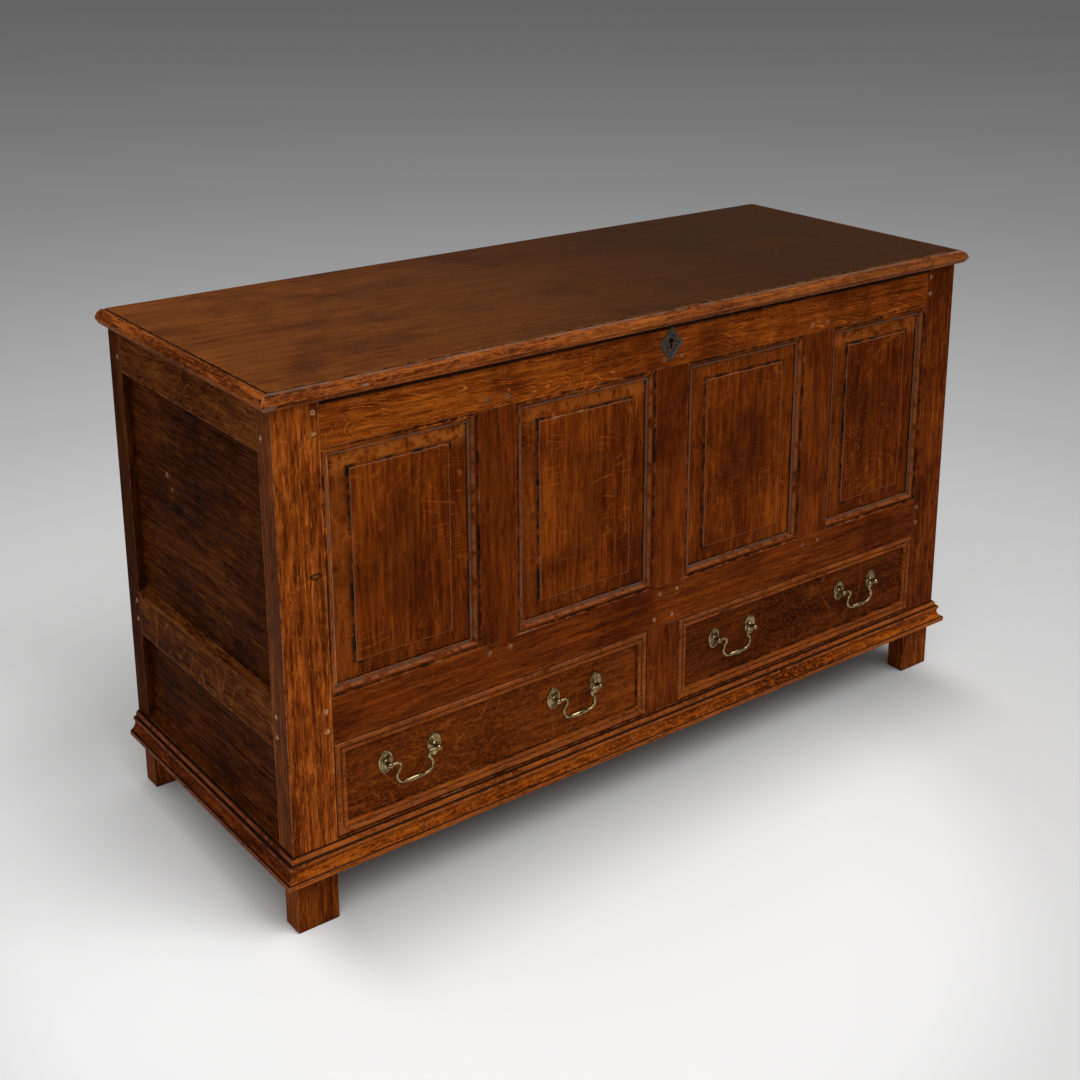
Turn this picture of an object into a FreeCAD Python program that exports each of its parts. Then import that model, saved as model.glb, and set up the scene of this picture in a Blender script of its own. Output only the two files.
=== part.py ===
import FreeCAD, Part
import math
import os
import Sketcher
from FreeCAD import Vector

# Joined oak mule chest: a lidded well over two drawers, on four block feet.
# Frame: origin on the floor under the middle of the chest, +X to its right,
# +Y to its back, +Z up. The carcass is drawn from its own front left corner:
# x from the left face, y from the front face, z from the floor.

# ---------------------------------------------------------------- driving sizes, mm
SIZES = {
    # carcass
    "carcass_width": 1410.0,
    "carcass_depth": 550.0,
    "carcass_top": 820.0,
    "foot_height": 92.0,
    "stile_width": 73.0,
    "stile_depth": 42.0,
    "rail_thickness": 28.0,
    "top_rail_height": 73.0,
    "middle_rail_bottom": 292.0,
    "middle_rail_height": 74.0,
    "bottom_rail_height": 44.0,
    "muntin_width": 69.0,
    "divider_width": 68.0,
    "muntin_left_shift": -2.0,
    "muntin_middle_shift": 11.0,
    "muntin_right_shift": 17.0,
    # run moulding round the front openings
    "edge_moulding_width": 15.0,
    "quirk_depth": 2.0,
    "ovolo_width": 10.5,
    "ovolo_depth": 7.0,
    "ovolo_radius": 8.5,
    "fillet_depth": 8.5,
    "groove_setback": 11.0,
    "groove_width": 7.0,
    "groove_depth": 9.0,
    # joints
    "rail_tenon_length": 45.0,
    "side_tenon_length": 24.0,
    "muntin_tenon_length": 40.0,
    "divider_tenon_length": 25.0,
    "tenon_shoulder": 9.0,
    "peg_radius": 4.5,
    "front_peg_length": 26.0,
    "side_peg_length": 23.0,
    "peg_inset": 9.0,
    "peg_edge_margin": 18.0,
    "peg_spacing": 32.0,
    "peg_spread": 19.0,
    "side_peg_inset": 11.0,
    "member_peg_rise": 15.0,
    "member_shoulder": 5.0,
    # front panels
    "panel_entry": 8.0,
    "panel_play": 0.25,
    "field_recess": 7.0,
    "field_step": 1.2,
    "side_margin": 33.0,
    "end_margin": 26.0,
    # side frames
    "side_groove_setback": 12.0,
    "weathering_rise": 8.0,
    "bottom_weathering_rise": 13.0,
    "board_joint_height": 569.0,
    # feet
    "foot_width": 69.0,
    "foot_depth": 36.0,
    "foot_inset": 4.0,
    "foot_tenon_width": 20.0,
    "foot_tenon_depth": 13.0,
    "foot_tenon_length": 25.0,
    "foot_tenon_setback": 5.0,
    "foot_corner_wear": 3.0,
    # base moulding
    "base_top": 133.0,
    "base_projection": 18.0,
    "base_lip": 8.0,
    "base_ledge": 1.5,
    "base_cove_height": 16.0,
    "base_cove_radius": 16.0,
    "base_neck_projection": 8.5,
    "base_lower_bead_height": 8.0,
    "base_lower_bead_radius": 4.6,
    "base_bead_projection": 5.5,
    "base_top_bead_radius": 9.0,
    "base_top_set": 3.0,
    # lid
    "lid_gap": 0.5,
    "lid_thickness": 23.0,
    "lid_side_overhang": 2.0,
    "lid_front_inset": 1.0,
    "lid_moulding_width": 18.0,
    "lid_moulding_undercut": 6.0,
    "lid_nose_height": 9.0,
    "lid_nose_radius": 16.0,
    "lid_sunk_fillet": 3.0,
    "lid_sunk_depth": 1.5,
    "cleat_width": 32.0,
    "cleat_thickness": 20.0,
    "cleat_clearance": 18.0,
    "cleat_inset": 150.0,
    # well floor
    "floor_rise": 30.0,
    "floor_thickness": 13.0,
    "floor_groove_depth": 6.0,
    # drawers
    "drawer_gap": 1.5,
    "drawer_front_thickness": 19.0,
    "drawer_front_recess": 5.0,
    "drawer_back_gap": 37.0,
    "drawer_side_thickness": 10.0,
    "drawer_side_drop": 4.0,
    "drawer_back_thickness": 12.0,
    "drawer_bottom_thickness": 7.0,
    "drawer_bottom_height": 10.0,
    "drawer_bottom_entry": 5.0,
    "dovetail_lap": 5.0,
    "dovetail_width": 24.0,
    "dovetail_flare": 4.0,
    "runner_clearance": 0.3,
    "runner_thickness": 20.0,
    "runner_reach": 26.0,
    "guide_height": 16.0,
    "guide_width": 18.0,
    "drawer_moulding_width": 19.5,
    "drawer_moulding_proud": 7.0,
    "drawer_bead_base": 3.5,
    "drawer_bead_step": 1.7,
    "drawer_bead_radius": 5.2,
    # drop handles
    "post_spacing": 86.0,
    "handle_rise": 15.0,
    "left_handle_inset": 130.0,
    "right_handle_inset": 150.0,
    "pivot_standoff": 13.5,
    "ball_radius": 5.2,
    "pin_web": 1.0,
    "rose_height": 38.0,
    "rose_width": 25.0,
    "rose_thickness": 2.0,
    "bail_wire_radius": 2.4,
    "bail_play": 0.1,
    "bail_end_gap": 0.3,
    "bail_shoulder": 18.0,
    "bail_drop": 35.0,
    "bail_bend_radius": 5.0,
    "bail_bow_radius": 10.0,
    "grip_radius": 4.3,
    "grip_collar": 0.6,
    "grip_share": 0.8,
    # lock and escutcheon
    "lock_centre": 711.0,
    "keyhole_drop": 34.0,
    "keyhole_width": 11.0,
    "keyhole_length": 19.5,
    "escutcheon_width": 49.0,
    "escutcheon_length": 60.0,
    "escutcheon_thickness": 1.6,
    "escutcheon_drop": 34.5,
    "escutcheon_field_share": 0.82,
    "escutcheon_field_depth": 0.6,
    "lock_case_width": 84.0,
    "lock_case_height": 62.0,
    "lock_case_thickness": 14.0,
    "lock_wall": 2.0,
    "lock_eye_drop": 17.0,
    "bolt_height": 8.0,
    "bolt_length": 22.0,
    "bolt_thickness": 3.0,
    "bolt_throw": 8.0,
    "bolt_play": 0.3,
    "staple_width": 9.5,
    "staple_thickness": 4.0,
    "staple_play": 1.0,
    # hinges
    "hinge_left_inset": 323.0,
    "hinge_right_inset": 310.0,
    "hinge_play": 0.1,
    "hinge_width": 42.0,
    "hinge_leaf_thickness": 2.5,
    "hinge_leaf_height": 60.0,
    "hinge_strap_length": 110.0,
    "knuckle_radius": 4.5,
    "knuckle_gap": 0.3,
    "hinge_pin_radius": 2.0,
}

document = FreeCAD.newDocument("mule_chest")
sheet = document.addObject("Spreadsheet::Sheet", "sizes")


class Size:
    """A length in millimetres together with the sheet expression that drives it."""

    def __init__(self, text, value):
        self.text = text
        self.value = value

    def joined(self, other, sign, value):
        return Size("(%s %s %s)" % (self.text, sign, other.text), value)

    def __add__(self, other):
        other = as_size(other)
        return self.joined(other, "+", self.value + other.value)

    def __sub__(self, other):
        other = as_size(other)
        return self.joined(other, "-", self.value - other.value)

    def __mul__(self, other):
        other = as_size(other)
        return self.joined(other, "*", self.value * other.value)

    def __truediv__(self, other):
        other = as_size(other)
        return self.joined(other, "/", self.value / other.value)

    def __radd__(self, other):
        return as_size(other) + self

    def __rsub__(self, other):
        return as_size(other) - self

    def __rmul__(self, other):
        return as_size(other) * self

    def __neg__(self):
        return Size("(0 - %s)" % self.text, -self.value)


def as_size(number):
    """A plain number counts as a size of its own."""
    return number if isinstance(number, Size) else Size(repr(float(number)), float(number))


class SheetSizes:
    """Fills the sheet and hands out each of its cells by name."""

    def __init__(self, table):
        for row, (name, value) in enumerate(table.items(), start=1):
            sheet.set("A%d" % row, name)
            sheet.set("B%d" % row, str(value))
            sheet.setAlias("B%d" % row, name)
            setattr(self, name, Size("sizes." + name, value))


size = SheetSizes(SIZES)
document.recompute()


# ---------------------------------------------------------------- drawing helpers
def bind(target, path, number):
    """Drive one property of an object by the sheet."""
    target.setExpression(path, as_size(number).text)


def place(target, across=0.0, deep=0.0, up=0.0):
    """Put an object's own origin at a place given by sizes."""
    for path, number in zip(("x", "y", "z"), (across, deep, up)):
        bind(target, "Placement.Base." + path, number)
    return target


def piece(label, across=0.0, deep=0.0, up=0.0):
    """An empty body, placed in the chest's own frame."""
    body = document.addObject("PartDesign::Body", label)
    body.Label = label
    return place(body, across - size.carcass_width / 2, deep + front_plane, up)


def straight(start, end):
    """A line between two corners, with the numbers of its start and end points."""
    return Part.LineSegment(Vector(*start, 0), Vector(*end, 0)), 1, 2


def bulged(start, end, radius, bulge):
    """An arc between two corners that bulges towards a point, and its end numbers."""
    middle = [(a + b) / 2 for a, b in zip(start, end)]
    run = [b - a for a, b in zip(start, end)]
    chord = math.hypot(*run)
    left = (-run[1] / chord, run[0] / chord)
    reach = math.sqrt(radius * radius - chord * chord / 4)
    towards = sum((point - mid) * part for point, mid, part in zip(bulge, middle, left))
    turn = -1 if towards > 0 else 1
    centre = [mid + turn * part * reach for mid, part in zip(middle, left)]
    angles = [math.atan2(corner[1] - centre[1], corner[0] - centre[0]) for corner in (start, end)]
    circle = Part.Circle(Vector(*centre, 0), Vector(0, 0, 1), radius)
    if turn > 0:
        return Part.ArcOfCircle(circle, angles[0], angles[1]), 1, 2
    return Part.ArcOfCircle(circle, angles[1], angles[0]), 2, 1


def sketch_on(body, plane, offset):
    """An empty sketch on one of the body's own origin planes, moved out by an offset."""
    sketch = body.newObject("Sketcher::SketchObject", body.Label + "_sketch")
    support = [item for item in body.Origin.OriginFeatures if item.Role == plane][0]
    sketch.AttachmentSupport = [(support, "")]
    sketch.MapMode = "FlatFace"
    bind(sketch, "AttachmentOffset.Base.z", offset)
    return sketch


def draw(sketch, corners, closed=True):
    """Draw an outline whose corners and radii are all tied to the sheet.

    A corner is (across, up), or (across, up, radius, bulge across, bulge up) where the
    edge that leads to it is an arc that bulges towards the given point."""
    corners = [tuple(as_size(number) for number in corner) for corner in corners]
    values = [tuple(number.value for number in corner) for corner in corners]
    count = len(corners)
    first = sketch.GeometryCount
    edges = []
    for index in range(count if closed else count - 1):
        start = values[index]
        end = values[(index + 1) % count]
        if len(end) > 2:
            edges.append(bulged(start[:2], end[:2], end[2], end[3:]))
        else:
            edges.append(straight(start[:2], end[:2]))
    sketch.addGeometry([edge[0] for edge in edges], False)
    rules = []
    ties = []

    def rule(kind, *terms):
        rules.append(Sketcher.Constraint(kind, *terms))

    def tie(kind, *terms):
        number = terms[-1]
        ties.append((sketch.ConstraintCount + len(rules), number))
        rule(kind, *terms[:-1], number.value)

    for index, (_, begins, ends) in enumerate(edges):
        here = first + index
        tie("DistanceX", -1, 1, here, begins, corners[index][0])
        tie("DistanceY", -1, 1, here, begins, corners[index][1])
        target = corners[(index + 1) % count]
        if len(target) > 2:
            tie("Radius", here, target[2])
        if closed or index + 1 < len(edges):
            after = (index + 1) % len(edges)
            rule("Coincident", here, ends, first + after, edges[after][1])
        else:
            tie("DistanceX", -1, 1, here, ends, target[0])
            tie("DistanceY", -1, 1, here, ends, target[1])
    sketch.addConstraint(rules)
    for index, number in ties:
        bind(sketch, "Constraints[%d]" % index, number)
    return sketch


class Round:
    """A circle as an outline."""

    def __init__(self, across, up, radius):
        self.numbers = [as_size(number) for number in (across, up, radius)]

    def draw(self, sketch):
        across, up, radius = self.numbers
        here = sketch.addGeometry(
            Part.Circle(Vector(across.value, up.value, 0), Vector(0, 0, 1), radius.value), False)
        for kind, terms, number in (
                ("DistanceX", (-1, 1, here, 3), across),
                ("DistanceY", (-1, 1, here, 3), up),
                ("Radius", (here,), radius)):
            index = sketch.addConstraint(Sketcher.Constraint(kind, *terms, number.value))
            bind(sketch, "Constraints[%d]" % index, number)


def draw_all(sketch, outlines):
    for outline in outlines:
        if isinstance(outline, Round):
            outline.draw(sketch)
        else:
            draw(sketch, outline)


def extrude(body, plane, outlines, start, end):
    """Pad outlines from one coordinate to another along the plane's own axis."""
    faces_front = plane == "XZ_Plane"
    sketch = sketch_on(body, plane, -as_size(start) if faces_front else start)
    draw_all(sketch, outlines)
    pad = body.newObject("PartDesign::Pad", body.Label + "_pad")
    pad.Profile = sketch
    pad.Reversed = faces_front
    bind(pad, "Length", as_size(end) - start)


def carve(body, plane, outlines, start, end):
    """Pocket outlines from one coordinate to another along the plane's own axis."""
    faces_front = plane == "XZ_Plane"
    sketch = sketch_on(body, plane, -as_size(start) if faces_front else start)
    draw_all(sketch, outlines)
    pocket = body.newObject("PartDesign::Pocket", body.Label + "_pocket")
    pocket.Profile = sketch
    pocket.Reversed = not faces_front
    bind(pocket, "Length", as_size(end) - start)


def rectangle(left, right, low, high):
    return [(left, low), (right, low), (right, high), (left, high)]


FLAT_SHARE = math.cos(math.pi / 8)  # an octagon's half width over its corner radius


def octagon(across, up, radius):
    """An eight-sided outline of a given half width, as a riven peg is cut."""
    flat = radius * math.tan(math.pi / 8)
    signs = [(1, -1), (1, 1), (-1, 1), (-1, -1)]
    corners = []
    for side, rise in signs:
        wide = (across + radius * side, up + flat * rise)
        tall = (across + flat * side, up + radius * rise)
        corners += [wide, tall] if side * rise > 0 else [tall, wide]
    return corners


def group(label, members):
    """One node of several separate solids."""
    compound = document.addObject("Part::Compound", label)
    compound.Label = label
    compound.Links = members
    return compound


def solid(label, plane, outlines, start, end, across=0.0, deep=0.0, up=0.0):
    """A piece that is one extrusion."""
    body = piece(label, across, deep, up)
    extrude(body, plane, outlines, start, end)
    return body


def faceted(body, plane, sections):
    """Straight-sided loft through outlines, each at its own offset from a plane."""
    sketches = [draw(sketch_on(body, plane, offset), outline) for offset, outline in sections]
    loft = body.newObject("PartDesign::AdditiveLoft", body.Label + "_loft")
    loft.Profile = sketches[0]
    loft.Sections = sketches[1:]
    loft.Ruled = True


def handed(corners, across=1, up=1):
    """An outline as it is drawn, or turned over in one or both directions."""
    signs = (across, up)
    turned = []
    for corner in corners:
        numbers = [number * signs[index % 2] for index, number in enumerate(corner[:2])]
        if len(corner) > 2:
            numbers.append(corner[2])
            numbers += [number * sign for number, sign in zip(corner[3:], signs)]
        turned.append(tuple(numbers))
    return turned


def swapped(corners):
    """An outline with its two directions exchanged."""
    turned = []
    for corner in corners:
        tail = (corner[2], corner[4], corner[3]) if len(corner) > 2 else ()
        turned.append((corner[1], corner[0]) + tail)
    return turned


def backwards(corners):
    """The same run of corners taken the other way, arcs included."""
    turned = []
    for here, after in zip(corners, corners[1:] + [()]):
        turned.append(here[:2] + after[2:])
    return turned[::-1]


def span(side, near, far):
    """A range measured outwards from an origin, on its positive or negative side."""
    return (near, far) if side > 0 else (-as_size(far), -as_size(near))


# ---------------------------------------------------------------- places in the carcass
WASTE = 5.0  # how far a through cut runs past the wood

width = size.carcass_width
depth = size.carcass_depth
knuckle_projection = size.knuckle_gap + size.knuckle_radius * 2
front_plane = (size.base_projection - knuckle_projection - depth) / 2
top_rail_bottom = size.carcass_top - size.top_rail_height
middle_rail_top = size.middle_rail_bottom + size.middle_rail_height
drawer_floor = size.foot_height + size.bottom_rail_height
floor_height = size.middle_rail_bottom + size.floor_rise
floor_top = floor_height + size.floor_thickness
groove_back = size.groove_setback + size.groove_width
side_groove_back = size.side_groove_setback + size.groove_width
panel_opening = (width - size.stile_width * 2 - size.muntin_width * 3) / 4
right_stile_edge = width - size.stile_width
divider_left = (width - size.divider_width) / 2
divider_right = divider_left + size.divider_width
side_rail_end = depth - size.stile_depth
lid_bottom = size.carcass_top + size.lid_gap
keyhole_height = size.carcass_top - size.keyhole_drop
escutcheon_height = size.carcass_top - size.escutcheon_drop

muntin_shifts = [size.muntin_left_shift, size.muntin_middle_shift, size.muntin_right_shift]
muntin_lefts = [
    size.stile_width + panel_opening * (index + 1) + size.muntin_width * index + shift
    for index, shift in enumerate(muntin_shifts)
]
muntin_rights = [left + size.muntin_width for left in muntin_lefts]
HANDS = {"left": 1, "right": -1}
rail_levels = {
    "top": (top_rail_bottom, size.carcass_top),
    "middle": (size.middle_rail_bottom, middle_rail_top),
    "bottom": (size.foot_height, drawer_floor),
}


def outer_edge(hand):
    """The carcass face on which a left or right hand piece is measured."""
    return 0.0 if hand == "left" else width


def tenon_levels(level):
    """How high a rail's tenon and its mortise reach."""
    low, high = rail_levels[level]
    return low + size.tenon_shoulder, high - size.tenon_shoulder


# ---------------------------------------------------------------- pegs
def rail_peg_heights(level):
    high = rail_levels[level][1]
    return [high - size.peg_edge_margin, high - size.peg_edge_margin - size.peg_spacing]


def stile_pegs():
    """Front or back pegs of one stile, measured from its outer face."""
    across = size.stile_width - size.peg_inset
    return [(across, up) for level in ("top", "middle") for up in rail_peg_heights(level)]


def side_pegs():
    """Side pegs of one stile, measured inwards from its front or back face."""
    inwards = size.stile_depth - size.side_peg_inset
    heights = rail_peg_heights("top")[1:] + rail_peg_heights("middle")
    return [(inwards, up) for up in heights]


def member_pegs(left, right, heights):
    """A pair of pegs in the tenon of a muntin or divider at each height."""
    middle = (left + right) / 2
    sides = (-1, 1)
    return [(middle + size.peg_spread * side, up) for up in heights for side in sides]


muntin_peg_top = top_rail_bottom + size.member_peg_rise
muntin_peg_bottom = middle_rail_top - size.member_peg_rise
divider_peg_height = size.middle_rail_bottom + size.member_peg_rise
top_rail_pegs = []
middle_rail_pegs = member_pegs(divider_left, divider_right, [divider_peg_height])
for left, right in zip(muntin_lefts, muntin_rights):
    top_rail_pegs += member_pegs(left, right, [muntin_peg_top])
    middle_rail_pegs += member_pegs(left, right, [muntin_peg_bottom])


def peg_outlines(centres, side=1):
    """Octagons four to a sketch, which keeps each sketch quick to solve."""
    outlines = [handed(octagon(across, up, size.peg_radius), across=side) for across, up in centres]
    return [outlines[start:start + 4] for start in range(0, len(outlines), 4)]


def peg_holes(body, plane, centres, start, end, side=1):
    for outlines in peg_outlines(centres, side):
        carve(body, plane, outlines, start, end)


# ---------------------------------------------------------------- front frame
def moulded_edge(arris, outward, back):
    """(across, deep) corners of a moulded and grooved edge, from its arris to its back."""
    ovolo = arris + size.ovolo_width * outward
    sight = arris + size.edge_moulding_width * outward
    root = sight - size.groove_depth * outward
    return [
        (arris, 0),
        (arris, size.quirk_depth),
        (ovolo, size.ovolo_depth, size.ovolo_radius, ovolo, size.quirk_depth),
        (ovolo, size.fillet_depth),
        (sight, size.fillet_depth),
        (sight, size.groove_setback),
        (root, size.groove_setback),
        (root, groove_back),
        (sight, groove_back),
        (sight, back),
    ]


def side_groove(across_face):
    """(across, deep) corners of the groove for the side panels in a stile's inner face."""
    bottom = across_face - size.groove_depth
    return [
        (side_groove_back, across_face),
        (side_groove_back, bottom),
        (size.side_groove_setback, bottom),
        (size.side_groove_setback, across_face),
        (0, across_face),
    ]


def rail_mortises():
    """(across, up) mortises of one stile for the three rails of a frame."""
    bottom = size.stile_width - size.rail_tenon_length
    return [
        rectangle(bottom, size.stile_width, *tenon_levels(level)) for level in rail_levels
    ]


def cut_stile_joints(body, side, deep_side):
    """Mortises, peg holes and foot mortise that front and back stiles share."""
    mortises = [handed(outline, across=side) for outline in rail_mortises()]
    carve(body, "XZ_Plane", mortises, *span(deep_side, size.groove_setback, groove_back))
    peg_holes(body, "XZ_Plane", stile_pegs(), *span(deep_side, 0, size.front_peg_length), side)
    inner = size.stile_depth
    bottom = inner - size.side_tenon_length
    mortises = [
        handed(rectangle(bottom, inner, *tenon_levels(level)), across=deep_side) for level in rail_levels
    ]
    carve(body, "YZ_Plane", mortises, *span(side, size.side_groove_setback, side_groove_back))
    peg_holes(body, "YZ_Plane", side_pegs(), *span(side, 0, size.side_peg_length), deep_side)
    mortise = handed(foot_tenon_outline(), across=side)
    carve(body, "XZ_Plane", [mortise], *span(deep_side, *foot_tenon_reach()))


def foot_tenon_outline():
    middle = size.foot_inset + size.foot_width / 2
    half = size.foot_tenon_width / 2
    base = size.foot_height
    return rectangle(middle - half, middle + half, base, base + size.foot_tenon_length)


def foot_tenon_reach():
    """How far the foot's tenon lies behind the stile's outer face, clear of the rails' tenons."""
    far = size.stile_depth - size.foot_tenon_setback
    return far - size.foot_tenon_depth, far


def front_stile(hand):
    """Stile with the run moulding on its edge, kept only beside the panels."""
    side = HANDS[hand]
    body = piece("stile_front_" + hand, outer_edge(hand))
    section = [(0, 0)] + moulded_edge(size.stile_width, 1, size.stile_depth)
    section += side_groove(size.stile_depth)
    extrude(body, "XY_Plane", [handed(section, across=side)], size.foot_height, size.carcass_top)
    reach = size.edge_moulding_width + WASTE
    edge = size.stile_width
    below = [
        (edge, size.foot_height - WASTE),
        (edge + reach, size.foot_height - WASTE),
        (edge + reach, middle_rail_top + reach),
        (edge, middle_rail_top),
    ]
    above = [
        (edge, top_rail_bottom),
        (edge + reach, top_rail_bottom - reach),
        (edge + reach, size.carcass_top + WASTE),
        (edge, size.carcass_top + WASTE),
    ]
    cuts = [handed(below, across=side), handed(above, across=side)]
    carve(body, "XZ_Plane", cuts, -WASTE, size.stile_depth + WASTE)
    cut_stile_joints(body, side, 1)
    return body


def back_stile(hand):
    """Plain stile, grooved for the back and side panels."""
    side = HANDS[hand]
    body = piece("stile_back_" + hand, outer_edge(hand), depth)
    edge = size.stile_width
    root = edge - size.groove_depth
    section = [
        (0, 0),
        (edge, 0),
        (edge, size.groove_setback),
        (root, size.groove_setback),
        (root, groove_back),
        (edge, groove_back),
        (edge, size.stile_depth),
    ]
    section += side_groove(size.stile_depth)
    outline = handed(section, across=side, up=-1)
    extrude(body, "XY_Plane", [outline], size.foot_height, size.carcass_top)
    cut_stile_joints(body, side, -1)
    return body


def muntin_housing(left, right, arris, inward):
    """(across, up) seat of a muntin in a rail's moulding, its ends mitred."""
    reach = size.edge_moulding_width + WASTE
    tip = arris - inward * reach
    return [(left, arris), (right, arris), (right + reach, tip), (left - reach, tip)]


def rail_end_mitre(edge, outward, arris, inward):
    """(across, up) corner taken off a rail's moulding where it meets the stile's."""
    reach = size.edge_moulding_width + WASTE
    tip = arris - inward * reach
    return [
        (edge, arris),
        (edge - outward * reach, tip),
        (edge + outward * WASTE, tip),
        (edge + outward * WASTE, arris),
    ]


def front_rail(label, section, level, mortises, housings, pegs):
    """A rail of the front frame: section, mitres, through tongue, mortises and peg holes."""
    body = piece(label)
    extrude(body, "YZ_Plane", [section], size.stile_width, right_stile_edge)
    if housings:
        carve(body, "XZ_Plane", housings, -WASTE, size.rail_thickness + WASTE)
    reach = size.rail_tenon_length
    tongue = rectangle(size.groove_setback, groove_back, *tenon_levels(level))
    extrude(body, "YZ_Plane", [tongue], size.stile_width - reach, right_stile_edge + reach)
    carve(body, "XZ_Plane", mortises, size.groove_setback, groove_back)
    peg_holes(body, "XZ_Plane", pegs, -WASTE, size.front_peg_length)
    return body


def end_pegs(level):
    """Peg holes through the two end tenons of a front or back rail."""
    inset = size.stile_width - size.peg_inset
    return [(across, up) for across in (inset, width - inset) for up in rail_peg_heights(level)]


def tenon_width_range(left, right):
    return left + size.member_shoulder, right - size.member_shoulder


def front_top_rail():
    edge = moulded_edge(top_rail_bottom, -1, size.rail_thickness)
    section = [(0, size.carcass_top)] + swapped(edge) + [(size.rail_thickness, size.carcass_top)]
    housings = [muntin_housing(a, b, top_rail_bottom, 1) for a, b in zip(muntin_lefts, muntin_rights)]
    housings.append(rail_end_mitre(size.stile_width, -1, top_rail_bottom, 1))
    housings.append(rail_end_mitre(right_stile_edge, 1, top_rail_bottom, 1))
    top = top_rail_bottom + size.muntin_tenon_length
    mortises = [
        rectangle(*tenon_width_range(a, b), top_rail_bottom, top)
        for a, b in zip(muntin_lefts, muntin_rights)
    ]
    pegs = top_rail_pegs + end_pegs("top")
    body = front_rail("front_top_rail", section, "top", mortises, housings, pegs)
    carve(body, "XZ_Plane", [keyhole_outline()], -WASTE, size.rail_thickness + WASTE)
    return body


def front_middle_rail():
    edge = moulded_edge(middle_rail_top, 1, size.rail_thickness)
    low = size.middle_rail_bottom
    section = [(0, low)] + swapped(edge)
    inner = size.rail_thickness - size.floor_groove_depth
    section += [
        (size.rail_thickness, floor_top),
        (inner, floor_top),
        (inner, floor_height),
        (size.rail_thickness, floor_height),
        (size.rail_thickness, low),
    ]
    housings = [muntin_housing(a, b, middle_rail_top, -1) for a, b in zip(muntin_lefts, muntin_rights)]
    housings.append(rail_end_mitre(size.stile_width, -1, middle_rail_top, -1))
    housings.append(rail_end_mitre(right_stile_edge, 1, middle_rail_top, -1))
    bottom = middle_rail_top - size.muntin_tenon_length
    mortises = [
        rectangle(*tenon_width_range(a, b), bottom, middle_rail_top)
        for a, b in zip(muntin_lefts, muntin_rights)
    ]
    divider_range = tenon_width_range(divider_left, divider_right)
    mortises.append(rectangle(*divider_range, low, low + size.divider_tenon_length))
    pegs = middle_rail_pegs + end_pegs("middle")
    return front_rail("front_middle_rail", section, "middle", mortises, housings, pegs)


def front_bottom_rail():
    section = rectangle(0, size.rail_thickness, size.foot_height, drawer_floor)
    divider_range = tenon_width_range(divider_left, divider_right)
    mortise = rectangle(*divider_range, drawer_floor - size.divider_tenon_length, drawer_floor)
    return front_rail("front_bottom_rail", section, "bottom", [mortise], [], [])


def muntin(label, left, right):
    """Upright between two panels, moulded on both edges, its shoulders mitred."""
    body = piece(label)
    thickness = size.rail_thickness
    section = backwards(moulded_edge(left, -1, thickness)) + moulded_edge(right, 1, thickness)
    extrude(body, "XY_Plane", [section], middle_rail_top, top_rail_bottom)
    reach = size.edge_moulding_width + WASTE
    corners = []
    for arris, outward in ((left, -1), (right, 1)):
        tip = arris + reach * outward
        for level, inward in ((middle_rail_top, 1), (top_rail_bottom, -1)):
            corners.append([(arris, level), (tip, level + reach * inward), (tip, level - inward * WASTE),
                            (arris, level - inward * WASTE)])
    carve(body, "XZ_Plane", corners, -WASTE, thickness + WASTE)
    reach = size.muntin_tenon_length
    tongue = rectangle(*tenon_width_range(left, right), middle_rail_top - reach, top_rail_bottom + reach)
    extrude(body, "XZ_Plane", [tongue], size.groove_setback, groove_back)
    pegs = member_pegs(left, right, [muntin_peg_top, muntin_peg_bottom])
    peg_holes(body, "XZ_Plane", pegs, -WASTE, size.front_peg_length)
    return body


def drawer_divider():
    body = piece("drawer_divider")
    outline = rectangle(divider_left, divider_right, drawer_floor, size.middle_rail_bottom)
    extrude(body, "XZ_Plane", [outline], 0, size.rail_thickness)
    reach = size.divider_tenon_length
    low = drawer_floor - reach
    high = size.middle_rail_bottom + reach
    tongue = rectangle(*tenon_width_range(divider_left, divider_right), low, high)
    extrude(body, "XZ_Plane", [tongue], size.groove_setback, groove_back)
    pegs = member_pegs(divider_left, divider_right, [divider_peg_height])
    peg_holes(body, "XZ_Plane", pegs, -WASTE, size.front_peg_length)
    return body


def keyhole_outline():
    """(across, up) keyhole: a round bow over a slot half as wide."""
    radius = size.keyhole_width / 2
    slot = radius / 2
    middle = size.lock_centre
    top = keyhole_height + size.keyhole_length / 2
    bottom = top - size.keyhole_length
    bow = top - radius
    throat = bow - radius * math.cos(math.pi / 6)
    return [
        (middle - slot, throat, radius, middle - radius, throat),
        (middle - slot, bottom),
        (middle + slot, bottom),
        (middle + slot, throat),
        (middle + radius, bow, radius, middle + radius, throat),
        (middle, top, radius, middle + radius, top),
        (middle - radius, bow, radius, middle - radius, top),
    ]


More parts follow.
